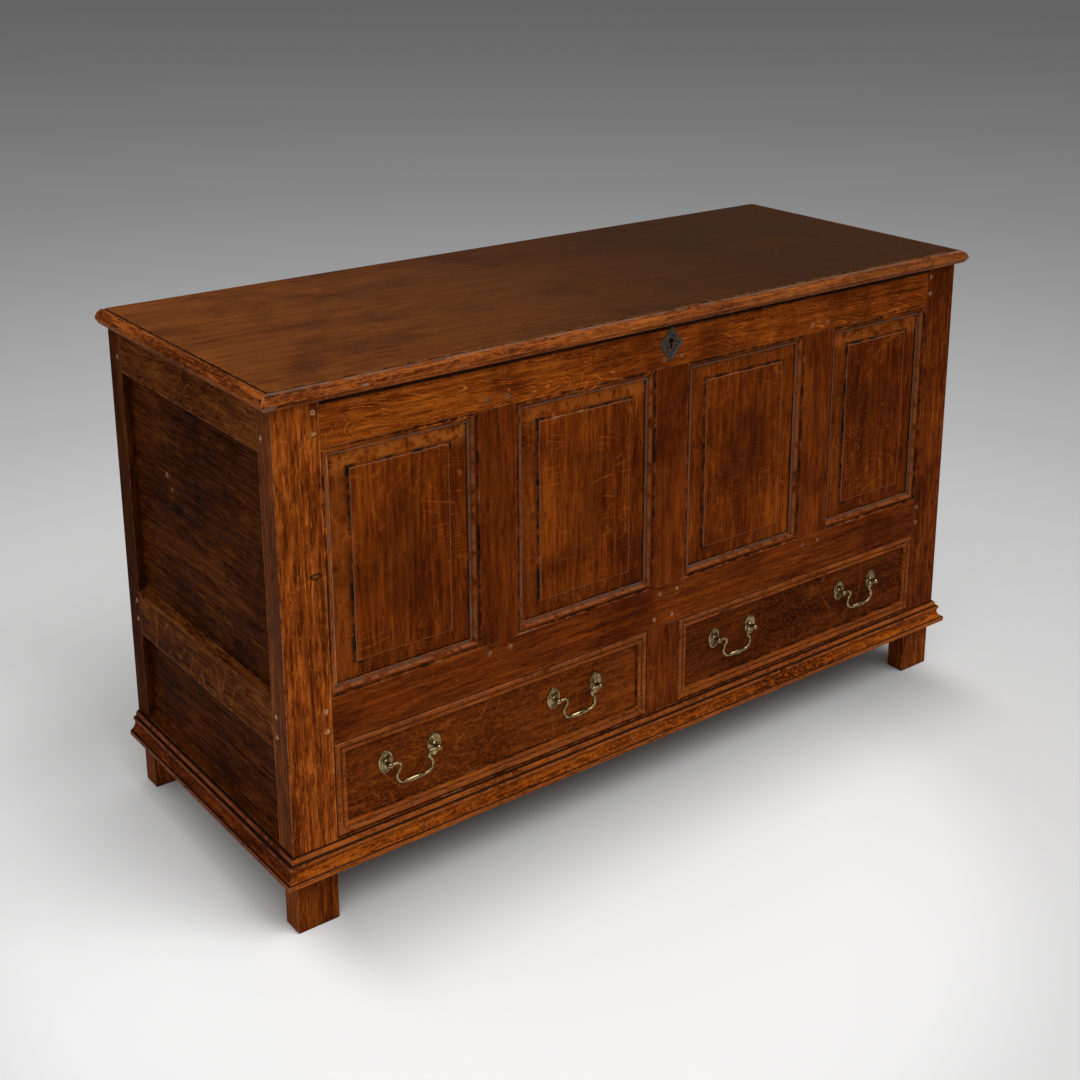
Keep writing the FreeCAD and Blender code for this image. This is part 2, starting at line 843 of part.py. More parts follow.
def fielded_panel(label, left, right):
    """Panel between two arrises, its margins bevelled to a tongue all round."""
    play = size.panel_play
    moulding = size.edge_moulding_width
    front = size.groove_setback + play
    sights = (left + moulding, right - moulding, middle_rail_top + moulding, top_rail_bottom - moulding)
    entry = size.panel_entry
    edges = (sights[0] - entry, sights[1] + entry, sights[2] - entry, sights[3] + entry)
    margins = (size.side_margin, -size.side_margin, size.end_margin, -size.end_margin)
    fields = [sight + margin for sight, margin in zip(sights, margins)]
    body = piece(label)
    extrude(body, "XZ_Plane", [rectangle(*edges)], size.field_recess, groove_back - play)
    bevels = []
    for index, outward in enumerate((-1, 1, -1, 1)):
        past = edges[index] + WASTE * outward
        bevels.append([
            (past, size.field_recess - WASTE),
            (fields[index], size.field_recess - WASTE),
            (fields[index], size.field_recess + size.field_step),
            (sights[index], front),
            (past, front),
        ])
    carve(body, "XY_Plane", bevels[:2], edges[2] - WASTE, edges[3] + WASTE)
    carve(body, "YZ_Plane", [swapped(bevel) for bevel in bevels[2:]], edges[0] - WASTE, edges[1] + WASTE)
    return body


def front_frame():
    for hand in HANDS:
        front_stile(hand)
    front_top_rail()
    front_middle_rail()
    front_bottom_rail()
    for label, left, right in zip(("left", "middle", "right"), muntin_lefts, muntin_rights):
        muntin("muntin_" + label, left, right)
    drawer_divider()
    names = ("outer_left", "inner_left", "inner_right", "outer_right")
    lefts = [size.stile_width] + muntin_rights
    rights = muntin_lefts + [right_stile_edge]
    for name, left, right in zip(names, lefts, rights):
        fielded_panel("panel_" + name, left, right)


# ---------------------------------------------------------------- side and back frames
weathering = {"top": 0, "middle": size.weathering_rise, "bottom": size.bottom_weathering_rise}


def rail_section(level, setback, rise, floor_groove):
    """(deep, up) corners of a rail grooved for panels, its top edge weathered or square."""
    low, high = rail_levels[level]
    thickness = size.rail_thickness
    back = setback + size.groove_width
    crest = high + rise
    corners = [(0, low)]
    if level != "bottom":
        root = low + size.groove_depth
        corners += [(setback, low), (setback, root), (back, root), (back, low)]
    corners.append((thickness, low))
    if floor_groove:
        inner = thickness - size.floor_groove_depth
        corners += [
            (thickness, floor_height),
            (inner, floor_height),
            (inner, floor_top),
            (thickness, floor_top),
        ]
    corners.append((thickness, crest))
    if level != "top":
        root = crest - size.groove_depth
        corners += [(back, crest), (back, root), (setback, root), (setback, crest)]
    return corners + [(0, high)]


def side_rail(hand, level):
    side = HANDS[hand]
    body = piece("%s_%s_rail" % (hand, level), outer_edge(hand))
    section = rail_section(level, size.side_groove_setback, weathering[level], False)
    extrude(body, "XZ_Plane", [handed(section, across=side)], size.stile_depth, side_rail_end)
    reach = size.side_tenon_length
    tongue = rectangle(size.side_groove_setback, side_groove_back, *tenon_levels(level))
    tongue = handed(tongue, across=side)
    extrude(body, "XZ_Plane", [tongue], size.stile_depth - reach, side_rail_end + reach)
    pegs = [(deep, up) for deep in side_peg_places() for up in side_peg_heights(level)]
    peg_holes(body, "YZ_Plane", pegs, *span(side, -WASTE, size.side_peg_length))
    return body


def side_peg_heights(level):
    low, high = rail_levels[level]
    return [up for _, up in side_pegs() if low.value < up.value < high.value]


def side_peg_places():
    inwards = size.stile_depth - size.side_peg_inset
    return [inwards, depth - inwards]


def side_panels(hand):
    """Boards laid lengthwise in the side frame: two above the middle rail, one below."""
    side = HANDS[hand]
    entry = size.panel_entry
    bottom_crest = drawer_floor + size.bottom_weathering_rise
    middle_crest = middle_rail_top + size.weathering_rise
    levels = [
        (bottom_crest - entry, size.middle_rail_bottom + entry),
        (middle_crest - entry, size.board_joint_height),
        (size.board_joint_height, top_rail_bottom + entry),
    ]
    thickness = (size.side_groove_setback + size.panel_play, side_groove_back - size.panel_play)
    boards = []
    for number, (low, high) in enumerate(levels, start=1):
        outline = rectangle(size.stile_depth - entry, side_rail_end + entry, low, high)
        label = "%s_side_board_%d" % (hand, number)
        boards.append(solid(label, "YZ_Plane", [outline], *span(side, *thickness), outer_edge(hand)))
    return group(hand + "_side_panels", boards)


back_muntins = {
    "top": [size.stile_width + panel_opening * (index + 1) + size.muntin_width * index for index in range(3)],
    "middle": [(width - size.muntin_width) / 2],
}
levels_between = {
    "top": (middle_rail_top, top_rail_bottom),
    "middle": (drawer_floor, size.middle_rail_bottom),
}


def back_rail(level):
    body = piece("back_%s_rail" % level, 0, depth)
    section = rail_section(level, size.groove_setback, 0, level == "middle")
    extrude(body, "YZ_Plane", [handed(section, across=-1)], size.stile_width, right_stile_edge)
    reach = size.rail_tenon_length
    tongue = handed(rectangle(size.groove_setback, groove_back, *tenon_levels(level)), across=-1)
    extrude(body, "YZ_Plane", [tongue], size.stile_width - reach, right_stile_edge + reach)
    if level != "bottom":
        peg_holes(body, "XZ_Plane", end_pegs(level), *span(-1, -WASTE, size.front_peg_length))
    return body


def back_muntin(label, left, low, high):
    """Plain upright with stub tenons in the grooves of the rails."""
    body = piece(label, 0, depth)
    right = left + size.muntin_width
    section = [(left, 0), (right, 0)]
    for edge, inwards in ((right, -1), (left, 1)):
        root = edge + size.groove_depth * inwards
        groove = [(edge, size.groove_setback), (root, size.groove_setback), (root, groove_back),
                  (edge, groove_back)]
        if inwards < 0:
            section += groove + [(right, size.rail_thickness), (left, size.rail_thickness)]
        else:
            section += groove[::-1]
    extrude(body, "XY_Plane", [handed(section, up=-1)], low, high)
    tongue = rectangle(left + size.groove_depth, right - size.groove_depth,
                       low - size.groove_depth, high + size.groove_depth)
    extrude(body, "XZ_Plane", [tongue], *span(-1, size.groove_setback, groove_back))
    return body


def back_frame():
    members = [back_rail(level) for level in rail_levels]
    panels = []
    entry = size.panel_entry
    thickness = span(-1, size.groove_setback + size.panel_play, groove_back - size.panel_play)
    for level, lefts in back_muntins.items():
        low, high = levels_between[level]
        for number, left in enumerate(lefts, start=1):
            members.append(back_muntin("back_%s_muntin_%d" % (level, number), left, low, high))
        starts = [size.stile_width] + [left + size.muntin_width for left in lefts]
        ends = lefts + [right_stile_edge]
        for number, (start, end) in enumerate(zip(starts, ends), start=1):
            outline = rectangle(start - entry, end + entry, low - entry, high + entry)
            label = "back_%s_panel_%d" % (level, number)
            panels.append(solid(label, "XZ_Plane", [outline], *thickness, 0, depth))
    group("back_frame", members)
    group("back_panels", panels)


def frame_pegs():
    """Riven oak pegs, one in every hole, flush with the faces."""
    pegs = []
    faces = [
        ("front", "XZ_Plane", 0, 0, (0, size.front_peg_length), top_rail_pegs + middle_rail_pegs
         + end_pegs("top") + end_pegs("middle")),
        ("back", "XZ_Plane", 0, depth, span(-1, 0, size.front_peg_length),
         end_pegs("top") + end_pegs("middle")),
    ]
    side_holes = [(deep, up) for deep in side_peg_places() for _, up in side_pegs()]
    for hand, side in HANDS.items():
        faces.append((hand, "YZ_Plane", outer_edge(hand), 0, span(side, 0, size.side_peg_length), side_holes))
    for name, plane, across, deep, reach, centres in faces:
        body = piece("pegs_" + name, across, deep)
        body.AllowCompound = True
        for outlines in peg_outlines(centres):
            extrude(body, plane, outlines, *reach)
        pegs.append(body)
    return group("frame_pegs", pegs)


# ---------------------------------------------------------------- floor, runners, feet, base
FLOOR_BOARDS = 5


def well_floor():
    """Boards laid from front to back, the end ones notched round the stiles."""
    start = size.rail_thickness
    pitch = (width - start * 2) / FLOOR_BOARDS
    near = start - size.floor_groove_depth
    far = depth - near
    levels = (floor_height, floor_top)
    boards = []
    for hand, side in HANDS.items():
        outline = [
            (start, size.stile_depth),
            (size.stile_width, size.stile_depth),
            (size.stile_width, near),
            (start + pitch, near),
            (start + pitch, far),
            (size.stile_width, far),
            (size.stile_width, side_rail_end),
            (start, side_rail_end),
        ]
        outline = handed(outline, across=side)
        boards.append(solid("floor_end_" + hand, "XY_Plane", [outline], *levels, outer_edge(hand)))
    for number in range(1, FLOOR_BOARDS - 1):
        left = start + pitch * number
        outline = rectangle(left, left + pitch, near, far)
        boards.append(solid("floor_board_%d" % number, "XY_Plane", [outline], *levels))
    return group("well_floor_boards", boards)


def drawer_runners():
    """Rebated runners: a ledge under each drawer side and a guide beside it."""
    low = drawer_floor - size.runner_thickness
    high = drawer_floor + size.guide_height
    reach = size.runner_reach
    edge = size.stile_width
    runners = []
    for hand, side in HANDS.items():
        section = [
            (edge - size.guide_width, low),
            (edge + reach, low),
            (edge + reach, drawer_floor),
            (edge, drawer_floor),
            (edge, high),
            (edge - size.guide_width, high),
        ]
        section = handed(section, across=side)
        runners.append(solid("runner_" + hand, "XZ_Plane", [section], size.stile_depth, side_rail_end,
                             outer_edge(hand)))
    section = [
        (divider_left - reach, low),
        (divider_right + reach, low),
        (divider_right + reach, drawer_floor),
        (divider_right, drawer_floor),
        (divider_right, high),
        (divider_left, high),
        (divider_left, drawer_floor),
        (divider_left - reach, drawer_floor),
    ]
    runners.append(solid("runner_middle", "XZ_Plane", [section], size.rail_thickness,
                         depth - size.rail_thickness))
    return group("drawer_runners", runners)


def feet():
    """Block feet, lower corners worn round, each tenoned up into a stile."""
    blocks = []
    for hand, side in HANDS.items():
        for end, deep_side, deep in (("front", 1, 0), ("back", -1, depth)):
            body = piece("foot_%s_%s" % (end, hand), outer_edge(hand), deep)
            near = size.foot_inset
            far = near + size.foot_width
            wear = size.foot_corner_wear
            outline = [
                (near + wear, 0, wear, near, 0),
                (far - wear, 0),
                (far, wear, wear, far, 0),
                (far, size.foot_height),
                (near, size.foot_height),
                (near, wear),
            ]
            outline = handed(outline, across=side)
            extrude(body, "XZ_Plane", [outline], *span(deep_side, near, near + size.foot_depth))
            tenon = handed(foot_tenon_outline(), across=side)
            extrude(body, "XZ_Plane", [tenon], *span(deep_side, *foot_tenon_reach()))
            blocks.append(body)
    return group("feet", blocks)


def front_run(label, section, reach, length, across, deep, levels):
    """A moulding along the front, mitred at both corners, drawn from its left corner."""
    body = piece(label, across, deep)
    extrude(body, "YZ_Plane", [handed(section, across=-1)], -reach, length + reach)
    far = reach + WASTE
    mitres = [
        [(0, 0), (-far, -far), (-far, 0)],
        [(length, 0), (length + far, -far), (length + far, 0)],
    ]
    carve(body, "XY_Plane", mitres, *levels)
    return body


def side_run(label, hand, section, reach, length, across, deep, levels):
    """A moulding along one side, mitred at its front corner and square at the back."""
    side = HANDS[hand]
    body = piece(label, across, deep)
    extrude(body, "XZ_Plane", [handed(section, across=-side)], -reach, length)
    far = reach + WASTE
    mitre = handed([(0, 0), (-far, -far), (0, -far)], across=side)
    carve(body, "XY_Plane", [mitre], *levels)
    return body


def base_mouldings():
    """Base moulding: lip, cove, two beads, planted on the bottom rails and stiles."""
    low = size.foot_height
    lip = low + size.base_lip
    cove = lip + size.base_cove_height
    bead = cove + size.base_lower_bead_height
    reach = size.base_projection
    neck = size.base_neck_projection
    top = size.base_top
    upper = size.base_bead_projection
    section = [
        (0, low),
        (reach, low),
        (reach, lip),
        (reach - size.base_ledge, lip),
        (neck, cove, size.base_cove_radius, neck, lip),
        (neck, bead, size.base_lower_bead_radius, reach, bead),
        (upper, bead),
        (upper - size.base_top_set, top, size.base_top_bead_radius, reach, top),
        (0, top),
    ]
    levels = (low - WASTE, top + WASTE)
    front_run("base_moulding_front", section, reach, width, 0, 0, levels)
    for hand in HANDS:
        side_run("base_moulding_" + hand, hand, section, reach, depth, outer_edge(hand), 0, levels)


# ---------------------------------------------------------------- lid
LID_BOARDS = 3
lid_top = lid_bottom + size.lid_thickness
hinge_places = [size.hinge_left_inset, width - size.hinge_right_inset]


def lid_boards():
    """Boards laid lengthwise, the rear one let in below for the hinge straps."""
    near = size.lid_front_inset
    pitch = (depth - near) / LID_BOARDS
    boards = []
    for number in range(LID_BOARDS):
        start = near + pitch * number
        outline = rectangle(-size.lid_side_overhang, width + size.lid_side_overhang, start, start + pitch)
        boards.append(solid("lid_board_%d" % (number + 1), "XY_Plane", [outline], lid_bottom, lid_top))
    half = size.hinge_width / 2
    recesses = [
        rectangle(middle - half, middle + half, depth - size.hinge_strap_length, depth + WASTE)
        for middle in hinge_places
    ]
    carve(boards[-1], "XY_Plane", recesses, lid_bottom, lid_bottom + size.hinge_leaf_thickness)
    return group("lid_boards", boards)


def lid_mouldings():
    """Thumbnail moulding planted on the front and ends of the lid, undercut below."""
    reach = size.lid_moulding_width
    fillet = size.lid_sunk_fillet
    nose = lid_bottom + size.lid_nose_height
    sunk = lid_top - size.lid_sunk_depth
    section = [
        (0, lid_bottom),
        (reach - size.lid_moulding_undercut, lid_bottom),
        (reach, nose),
        (fillet + size.lid_sunk_depth, lid_top, size.lid_nose_radius, reach, lid_top),
        (fillet, sunk),
        (0, sunk),
    ]
    levels = (lid_bottom - WASTE, lid_top + WASTE)
    overhang = size.lid_side_overhang
    front = size.lid_front_inset
    front_run("lid_moulding_front", section, reach, width + overhang * 2, -overhang, front, levels)
    for hand, side in HANDS.items():
        across = outer_edge(hand) - overhang * side
        side_run("lid_moulding_" + hand, hand, section, reach, depth - front, across, front, levels)


def lid_cleats():
    """Two battens across the boards, clear of the carcass when the lid is down."""
    near = size.rail_thickness + size.cleat_clearance
    cleats = []
    for hand, side in HANDS.items():
        outline = rectangle(size.cleat_inset, size.cleat_inset + size.cleat_width, near, depth - near)
        outline = handed(outline, across=side)
        cleats.append(solid("cleat_" + hand, "XY_Plane", [outline], lid_bottom - size.cleat_thickness,
                            lid_bottom, outer_edge(hand)))
    return group("lid_cleats", cleats)


# ---------------------------------------------------------------- hinges
hinge_axis = size.knuckle_gap + size.knuckle_radius
middle_knuckle = size.hinge_width / 6
fixed_knuckle = middle_knuckle + size.knuckle_gap


def hinge_plates():
    """Leaves on the back of the top rail, each with two knuckles and the pin."""
    half = size.hinge_width / 2
    head = -size.hinge_leaf_thickness / 2
    notch = -(size.knuckle_radius + size.knuckle_gap * 2)
    plates = []
    for number, middle in enumerate(hinge_places, start=1):
        outline = [
            (-half, -size.hinge_leaf_height),
            (half, -size.hinge_leaf_height),
            (half, head),
            (fixed_knuckle, head),
            (fixed_knuckle, notch),
            (-fixed_knuckle, notch),
            (-fixed_knuckle, head),
            (-half, head),
        ]
        body = solid("hinge_plate_%d" % number, "XZ_Plane", [outline], 0, size.hinge_leaf_thickness,
                     middle, depth, lid_bottom)
        for start, end in ((-half, -fixed_knuckle), (fixed_knuckle, half)):
            extrude(body, "YZ_Plane", [Round(hinge_axis, 0, size.knuckle_radius)], start, end)
        extrude(body, "YZ_Plane", [Round(hinge_axis, 0, size.hinge_pin_radius)], -half, half)
        plates.append(body)
    return group("hinge_plates", plates)


def hinge_straps():
    """Straps let into the underside of the lid, each with its eye round the pin."""
    half = size.hinge_width / 2
    neck = size.knuckle_gap + (size.knuckle_radius - size.hinge_pin_radius) / 2
    leaf = (0, size.hinge_leaf_thickness)
    straps = []
    for number, middle in enumerate(hinge_places, start=1):
        outline = rectangle(-half, half, -size.hinge_strap_length, 0)
        body = solid("hinge_strap_%d" % number, "XY_Plane", [outline], *leaf, middle, depth, lid_bottom)
        extrude(body, "XY_Plane", [rectangle(-middle_knuckle, middle_knuckle, -neck, neck)], *leaf)
        knuckle = Round(hinge_axis, 0, size.knuckle_radius)
        extrude(body, "YZ_Plane", [knuckle], -middle_knuckle, middle_knuckle)
        bore = size.hinge_pin_radius + size.hinge_play
        carve(body, "YZ_Plane", [Round(hinge_axis, 0, bore)], -half, half)
        straps.append(body)
    return group("hinge_straps", straps)


# ---------------------------------------------------------------- lock
case_back = size.rail_thickness + size.lock_case_thickness
case_middle = (size.rail_thickness + case_back - size.lock_wall) / 2
eye_low = size.carcass_top - size.lock_eye_drop
eye_high = eye_low + size.bolt_height + size.staple_play * 2


def escutcheon():
    """Iron lozenge with a raised rim and a keyhole."""
    wide = size.escutcheon_width / 2
    tall = size.escutcheon_length / 2

    def lozenge(share):
        return [(0, -tall * share), (wide * share, 0), (0, tall * share), (-wide * share, 0)]

    body = piece("escutcheon", size.lock_centre, 0, escutcheon_height)
    thickness = size.escutcheon_thickness
    extrude(body, "XZ_Plane", [lozenge(1)], -thickness, 0)
    carve(body, "XZ_Plane", [lozenge(size.escutcheon_field_share)], -thickness - WASTE,
          -thickness + size.escutcheon_field_depth)
    hole = [(corner[0] - size.lock_centre, corner[1] - escutcheon_height) + shifted_bulge(corner)
            for corner in keyhole_outline()]
    carve(body, "XZ_Plane", [hole], -thickness - WASTE, WASTE)
    return body


def shifted_bulge(corner):
    """The arc part of a keyhole corner, measured from the middle of the escutcheon."""
    if len(corner) < 3:
        return ()
    return corner[2], corner[3] - size.lock_centre, corner[4] - escutcheon_height


def lock_case():
    """Iron box on the inner face of the top rail, slotted above for the lid's staple."""
    body = piece("lock_case", size.lock_centre)
    half = size.lock_case_width / 2
    top = size.carcass_top
    low = top - size.lock_case_height
    wall = size.lock_wall
    extrude(body, "XZ_Plane", [rectangle(-half, half, low, top)], size.rail_thickness, case_back)
    inside = rectangle(-half + wall, half - wall, low + wall, top - wall)
    carve(body, "XZ_Plane", [inside], size.rail_thickness, case_back - wall)
    slot = size.staple_thickness / 2 + size.staple_play
    slot = rectangle(-slot, slot, size.rail_thickness, case_back - wall)
    carve(body, "XY_Plane", [slot], top - wall - WASTE, top + WASTE)
    return body


def lock_bolt():
    """Bolt shown drawn back: its narrow nose shoots sideways through the staple's eye."""
    nose_end = -size.staple_thickness / 2 - size.staple_play
    shoulder = nose_end - size.bolt_throw
    body = piece("lock_bolt", size.lock_centre)
    low = eye_low + size.staple_play
    high = low + size.bolt_height
    play = size.bolt_play
    block = rectangle(shoulder - size.bolt_length, shoulder, low, high)
    extrude(body, "XZ_Plane", [block], size.rail_thickness + play, case_back - size.lock_wall - play)
    half = size.bolt_thickness / 2
    nose = rectangle(shoulder - size.bolt_throw, nose_end, low, high)
    extrude(body, "XZ_Plane", [nose], case_middle - half, case_middle + half)
    return body


def lock_staple():
    """Loop under the lid: its two legs stand in front of and behind the bolt."""
    body = piece("lock_staple", size.lock_centre)
    half = size.staple_width / 2
    eye = size.bolt_thickness / 2 + size.staple_play
    thickness = size.staple_thickness / 2
    low = eye_low - size.staple_thickness
    outline = rectangle(case_middle - half, case_middle + half, low, lid_bottom)
    extrude(body, "YZ_Plane", [outline], -thickness, thickness)
    carve(body, "YZ_Plane", [rectangle(case_middle - eye, case_middle + eye, eye_low, eye_high)],
          -thickness - WASTE, thickness + WASTE)
    return body


# ---------------------------------------------------------------- drawers
TAILS = 3
drawer_width = divider_left - size.stile_width - size.drawer_gap * 2
drawer_height = size.middle_rail_bottom - drawer_floor - size.drawer_gap * 2
drawer_length = depth - size.rail_thickness - size.drawer_back_gap - size.drawer_front_recess
drawer_side_bottom = size.runner_clearance - size.drawer_gap
drawer_side_top = drawer_height - size.drawer_side_drop
drawer_places = {
    "left": size.stile_width + size.drawer_gap,
    "right": divider_right + size.drawer_gap,
}


def drawer_piece(hand, name):
    """An empty body in a drawer's own frame: its front's lower left corner, field face."""
    label = "drawer_%s_%s" % (hand, name)
    return piece(label, drawer_places[hand], size.drawer_front_recess, drawer_floor + size.drawer_gap)


def tail(shoulder, end, middle):
    """(deep, up) corners of one dovetail, widening from its shoulder to its end."""
    narrow = size.dovetail_width / 2
    wide = narrow + size.dovetail_flare
    return [
        (shoulder, middle - narrow),
        (end, middle - wide),
        (end, middle + wide),
        (shoulder, middle + narrow),
    ]


tail_heights = [drawer_side_top * (2 * number + 1) / (2 * TAILS) for number in range(TAILS)]
front_tails = [tail(size.drawer_front_thickness, size.dovetail_lap, up) for up in tail_heights]
back_shoulder = drawer_length - size.drawer_back_thickness
back_tails = [tail(back_shoulder, drawer_length, up) for up in tail_heights]
bottom_groove_top = size.drawer_bottom_height + size.drawer_bottom_thickness


def side_ranges():
    """The two sides of a drawer, as ranges across it."""
    thickness = size.drawer_side_thickness
    return [(0, thickness), (drawer_width - thickness, drawer_width)]


def socket_ranges():
    """The same two ranges, run out past the drawer's ends."""
    (near, inner), (outer, far) = side_ranges()
    return [(near - WASTE, inner), (outer, far + WASTE)]


def drawer_front(hand):
    body = drawer_piece(hand, "front")
    outline = rectangle(0, drawer_width, 0, drawer_height)
    extrude(body, "XZ_Plane", [outline], 0, size.drawer_front_thickness)
    for start, end in socket_ranges():
        carve(body, "YZ_Plane", front_tails, start, end)
    thickness = size.drawer_front_thickness
    entry = size.drawer_bottom_entry
    groove = rectangle(thickness - entry, thickness, size.drawer_bottom_height, bottom_groove_top)
    inset = size.drawer_side_thickness - entry
    carve(body, "YZ_Plane", [groove], inset, drawer_width - inset)


def drawer_sides(hand):
    """Sides with half-blind tails in front and through tails behind, grooved for the bottom."""
    outline = [(size.drawer_front_thickness, drawer_side_bottom), (back_shoulder, drawer_side_bottom)]
    for corners in back_tails:
        outline += corners
    outline += [(back_shoulder, drawer_side_top), (size.drawer_front_thickness, drawer_side_top)]
    for corners in front_tails[::-1]:
        outline += corners[::-1]
    sides = []
    entry = size.drawer_bottom_entry
    for number, (start, end) in enumerate(side_ranges(), start=1):
        body = drawer_piece(hand, "side_%d" % number)
        extrude(body, "YZ_Plane", [outline], start, end)
        inner = (end - entry, end) if number == 1 else (start, start + entry)
        groove = rectangle(*inner, size.drawer_bottom_height, bottom_groove_top)
        carve(body, "XZ_Plane", [groove], size.drawer_front_thickness - entry, drawer_length + WASTE)
        sides.append(body)
    group("drawer_%s_sides" % hand, sides)


def drawer_back(hand):
    body = drawer_piece(hand, "back")
    outline = rectangle(0, drawer_width, bottom_groove_top, drawer_side_top)
    extrude(body, "XZ_Plane", [outline], back_shoulder, drawer_length)
    for start, end in socket_ranges():
        carve(body, "YZ_Plane", back_tails, start, end)


def drawer_bottom(hand):
    body = drawer_piece(hand, "bottom")
    inset = size.drawer_side_thickness - size.drawer_bottom_entry
    near = size.drawer_front_thickness - size.drawer_bottom_entry
    outline = rectangle(inset, drawer_width - inset, near, drawer_length)
    extrude(body, "XY_Plane", [outline], size.drawer_bottom_height, bottom_groove_top)


def drawer_moulding(hand):
    """Double bead planted round the drawer front in four mitred lengths."""
    wide = size.drawer_moulding_width
    base = size.drawer_bead_base
    step = size.drawer_bead_step
    radius = size.drawer_bead_radius
    proud = size.drawer_moulding_proud
    section = [
        (0, 0),
        (wide, 0),
        (wide, base - step),
        (wide / 2, base - step, radius, wide, proud),
        (wide / 2, base),
        (0, base, radius, wide / 4, proud),
    ]
    far = wide + WASTE
    high = drawer_height
    long = drawer_width
    lengths = []
    for name, side, up in (("low", 1, 0), ("high", -1, high)):
        body = drawer_piece(hand, "moulding_" + name)
        bind(body, "Placement.Base.z", drawer_floor + size.drawer_gap + up)
        extrude(body, "YZ_Plane", [handed(swapped(section), across=-1, up=side)], 0, long)
        mitres = [
            [(-WASTE, -WASTE), (far, far), (-WASTE, far)],
            [(long + WASTE, -WASTE), (long - far, far), (long + WASTE, far)],
        ]
        mitres = [handed(outline, up=side) for outline in mitres]
        carve(body, "XZ_Plane", mitres, -proud - WASTE, WASTE)
        lengths.append(body)
    for name, side, across in (("near", 1, 0), ("far", -1, long)):
        body = drawer_piece(hand, "moulding_" + name)
        bind(body, "Placement.Base.x", drawer_places[hand] + across - width / 2)
        extrude(body, "XY_Plane", [handed(section, across=side, up=-1)], 0, high)
        mitres = [
            [(-WASTE, -WASTE), (far, far), (far, -WASTE)],
            [(-WASTE, high + WASTE), (far, high - far), (far, high + WASTE)],
        ]
        mitres = [handed(outline, across=side) for outline in mitres]
        carve(body, "XZ_Plane", mitres, -proud - WASTE, WASTE)
        lengths.append(body)
    group("drawer_%s_moulding" % hand, lengths)


# ---------------------------------------------------------------- drop handles
handle_places = {"near": size.left_handle_inset, "far": drawer_width - size.right_handle_inset}
DIAGONAL = math.sqrt(0.5)
half_span = size.post_spacing / 2


def flats(across, up, radius, start, end, steps):
    """Corners along an arc that is worked in flats; its angles are in degrees."""
    corners = []
    for step in range(steps + 1):
        angle = math.radians(start + (end - start) * step / steps)
        corners.append((across + radius * math.cos(angle), up + radius * math.sin(angle)))
    return corners


def oval(wide, tall):
    """Upright oval in sixteen flats, on four arcs struck from a 3-4-5 triangle."""
    side_radius = tall * 2 - wide
    end_radius = wide * 5 / 4 - side_radius / 4
    rise = side_radius * 3 / 5 - end_radius * 3 / 5
    lean = math.degrees(math.atan2(3, 4))
    right = flats(wide - side_radius, 0, side_radius, -lean, lean, 4)
    top = flats(0, rise, end_radius, lean, 180 - lean, 4)[1:-1]
    half = right + top
    return half + handed(half, across=-1, up=-1)


def handle_post(hand, name, middle, side):
    """Rose, neck and ball in one casting, the ball bored from its inner side."""
    body = drawer_piece(hand, "post_%s_%s" % (name, "left" if side < 0 else "right"))
    bind(body, "Placement.Base.x", drawer_places[hand] + middle + half_span * side - width / 2)
    bind(body, "Placement.Base.z", drawer_floor + size.drawer_gap + drawer_height / 2 + size.handle_rise)
    extrude(body, "XZ_Plane", [oval(size.rose_width / 2, size.rose_height / 2)], -size.rose_thickness, 0)
    ball = size.ball_radius
    neck = ball * 3 / 5
    crown = ball * 2 / 5
    pivot = size.pivot_standoff
    stations = [(0, neck), (pivot - ball, neck), (pivot - crown, ball), (pivot + crown, ball),
                (pivot + ball, crown)]
    faceted(body, "XZ_Plane", [(out, octagon(0, 0, radius * FLAT_SHARE)) for out, radius in stations])
    bore = octagon(-pivot, 0, size.bail_wire_radius + size.bail_play)
    carve(body, "YZ_Plane", [bore], *span(-side, -size.pin_web, ball + WASTE))
    return body


def handle_posts(hand):
    posts = [
        handle_post(hand, name, middle, side)
        for name, middle in handle_places.items()
        for side in (-1, 1)
    ]
    group("drawer_%s_handle_posts" % hand, posts)


def bail(hand, name, middle):
    """Drop handle: necks turned in from the posts, bowed out, joined by a swelled grip."""
    body = piece("drawer_%s_bail_%s" % (hand, name), drawer_places[hand] + middle,
                 size.drawer_front_recess - size.pivot_standoff,
                 drawer_floor + size.drawer_gap + drawer_height / 2 + size.handle_rise)
    wire = size.bail_wire_radius
    bend = size.bail_bend_radius
    bow = size.bail_bow_radius
    tip = half_span + size.pin_web - size.bail_end_gap
    neck = half_span - size.bail_shoulder
    bowed = neck + bow * (1 - DIAGONAL)
    bowed_level = -bend - bow * DIAGONAL
    turn_radius = (size.bail_drop + bowed_level) / (1 + DIAGONAL)
    grip = bowed - turn_radius * DIAGONAL
    half = [(-tip, 0)]
    half += flats(-neck - bend, -bend, bend, 90, 0, 3)
    half += flats(-neck - bow, -bend, bow, 0, -45, 2)[1:]
    half += flats(-grip, turn_radius - size.bail_drop, turn_radius, 135, 270, 4)[1:]
    route = sketch_on(body, "XZ_Plane", 0)
    draw(route, half + backwards(handed(half, across=-1)), closed=False)
    profile = sketch_on(body, "YZ_Plane", -tip)
    draw(profile, octagon(0, 0, wire * FLAT_SHARE))
    pipe = body.newObject("PartDesign::AdditivePipe", body.Label + "_wire")
    pipe.Profile = profile
    pipe.Spine = route
    pipe.Transition = "Right corner"
    long = grip * size.grip_share
    collar = wire + size.grip_collar
    stations = [(-long, collar), (0, size.grip_radius), (long, collar)]
    faceted(body, "YZ_Plane", [(across, octagon(0, -size.bail_drop, radius * FLAT_SHARE))
                               for across, radius in stations])
    return body


def drawer(hand):
    drawer_front(hand)
    drawer_sides(hand)
    drawer_back(hand)
    drawer_bottom(hand)
    drawer_moulding(hand)
    handle_posts(hand)
    for name, middle in handle_places.items():
        bail(hand, name, middle)


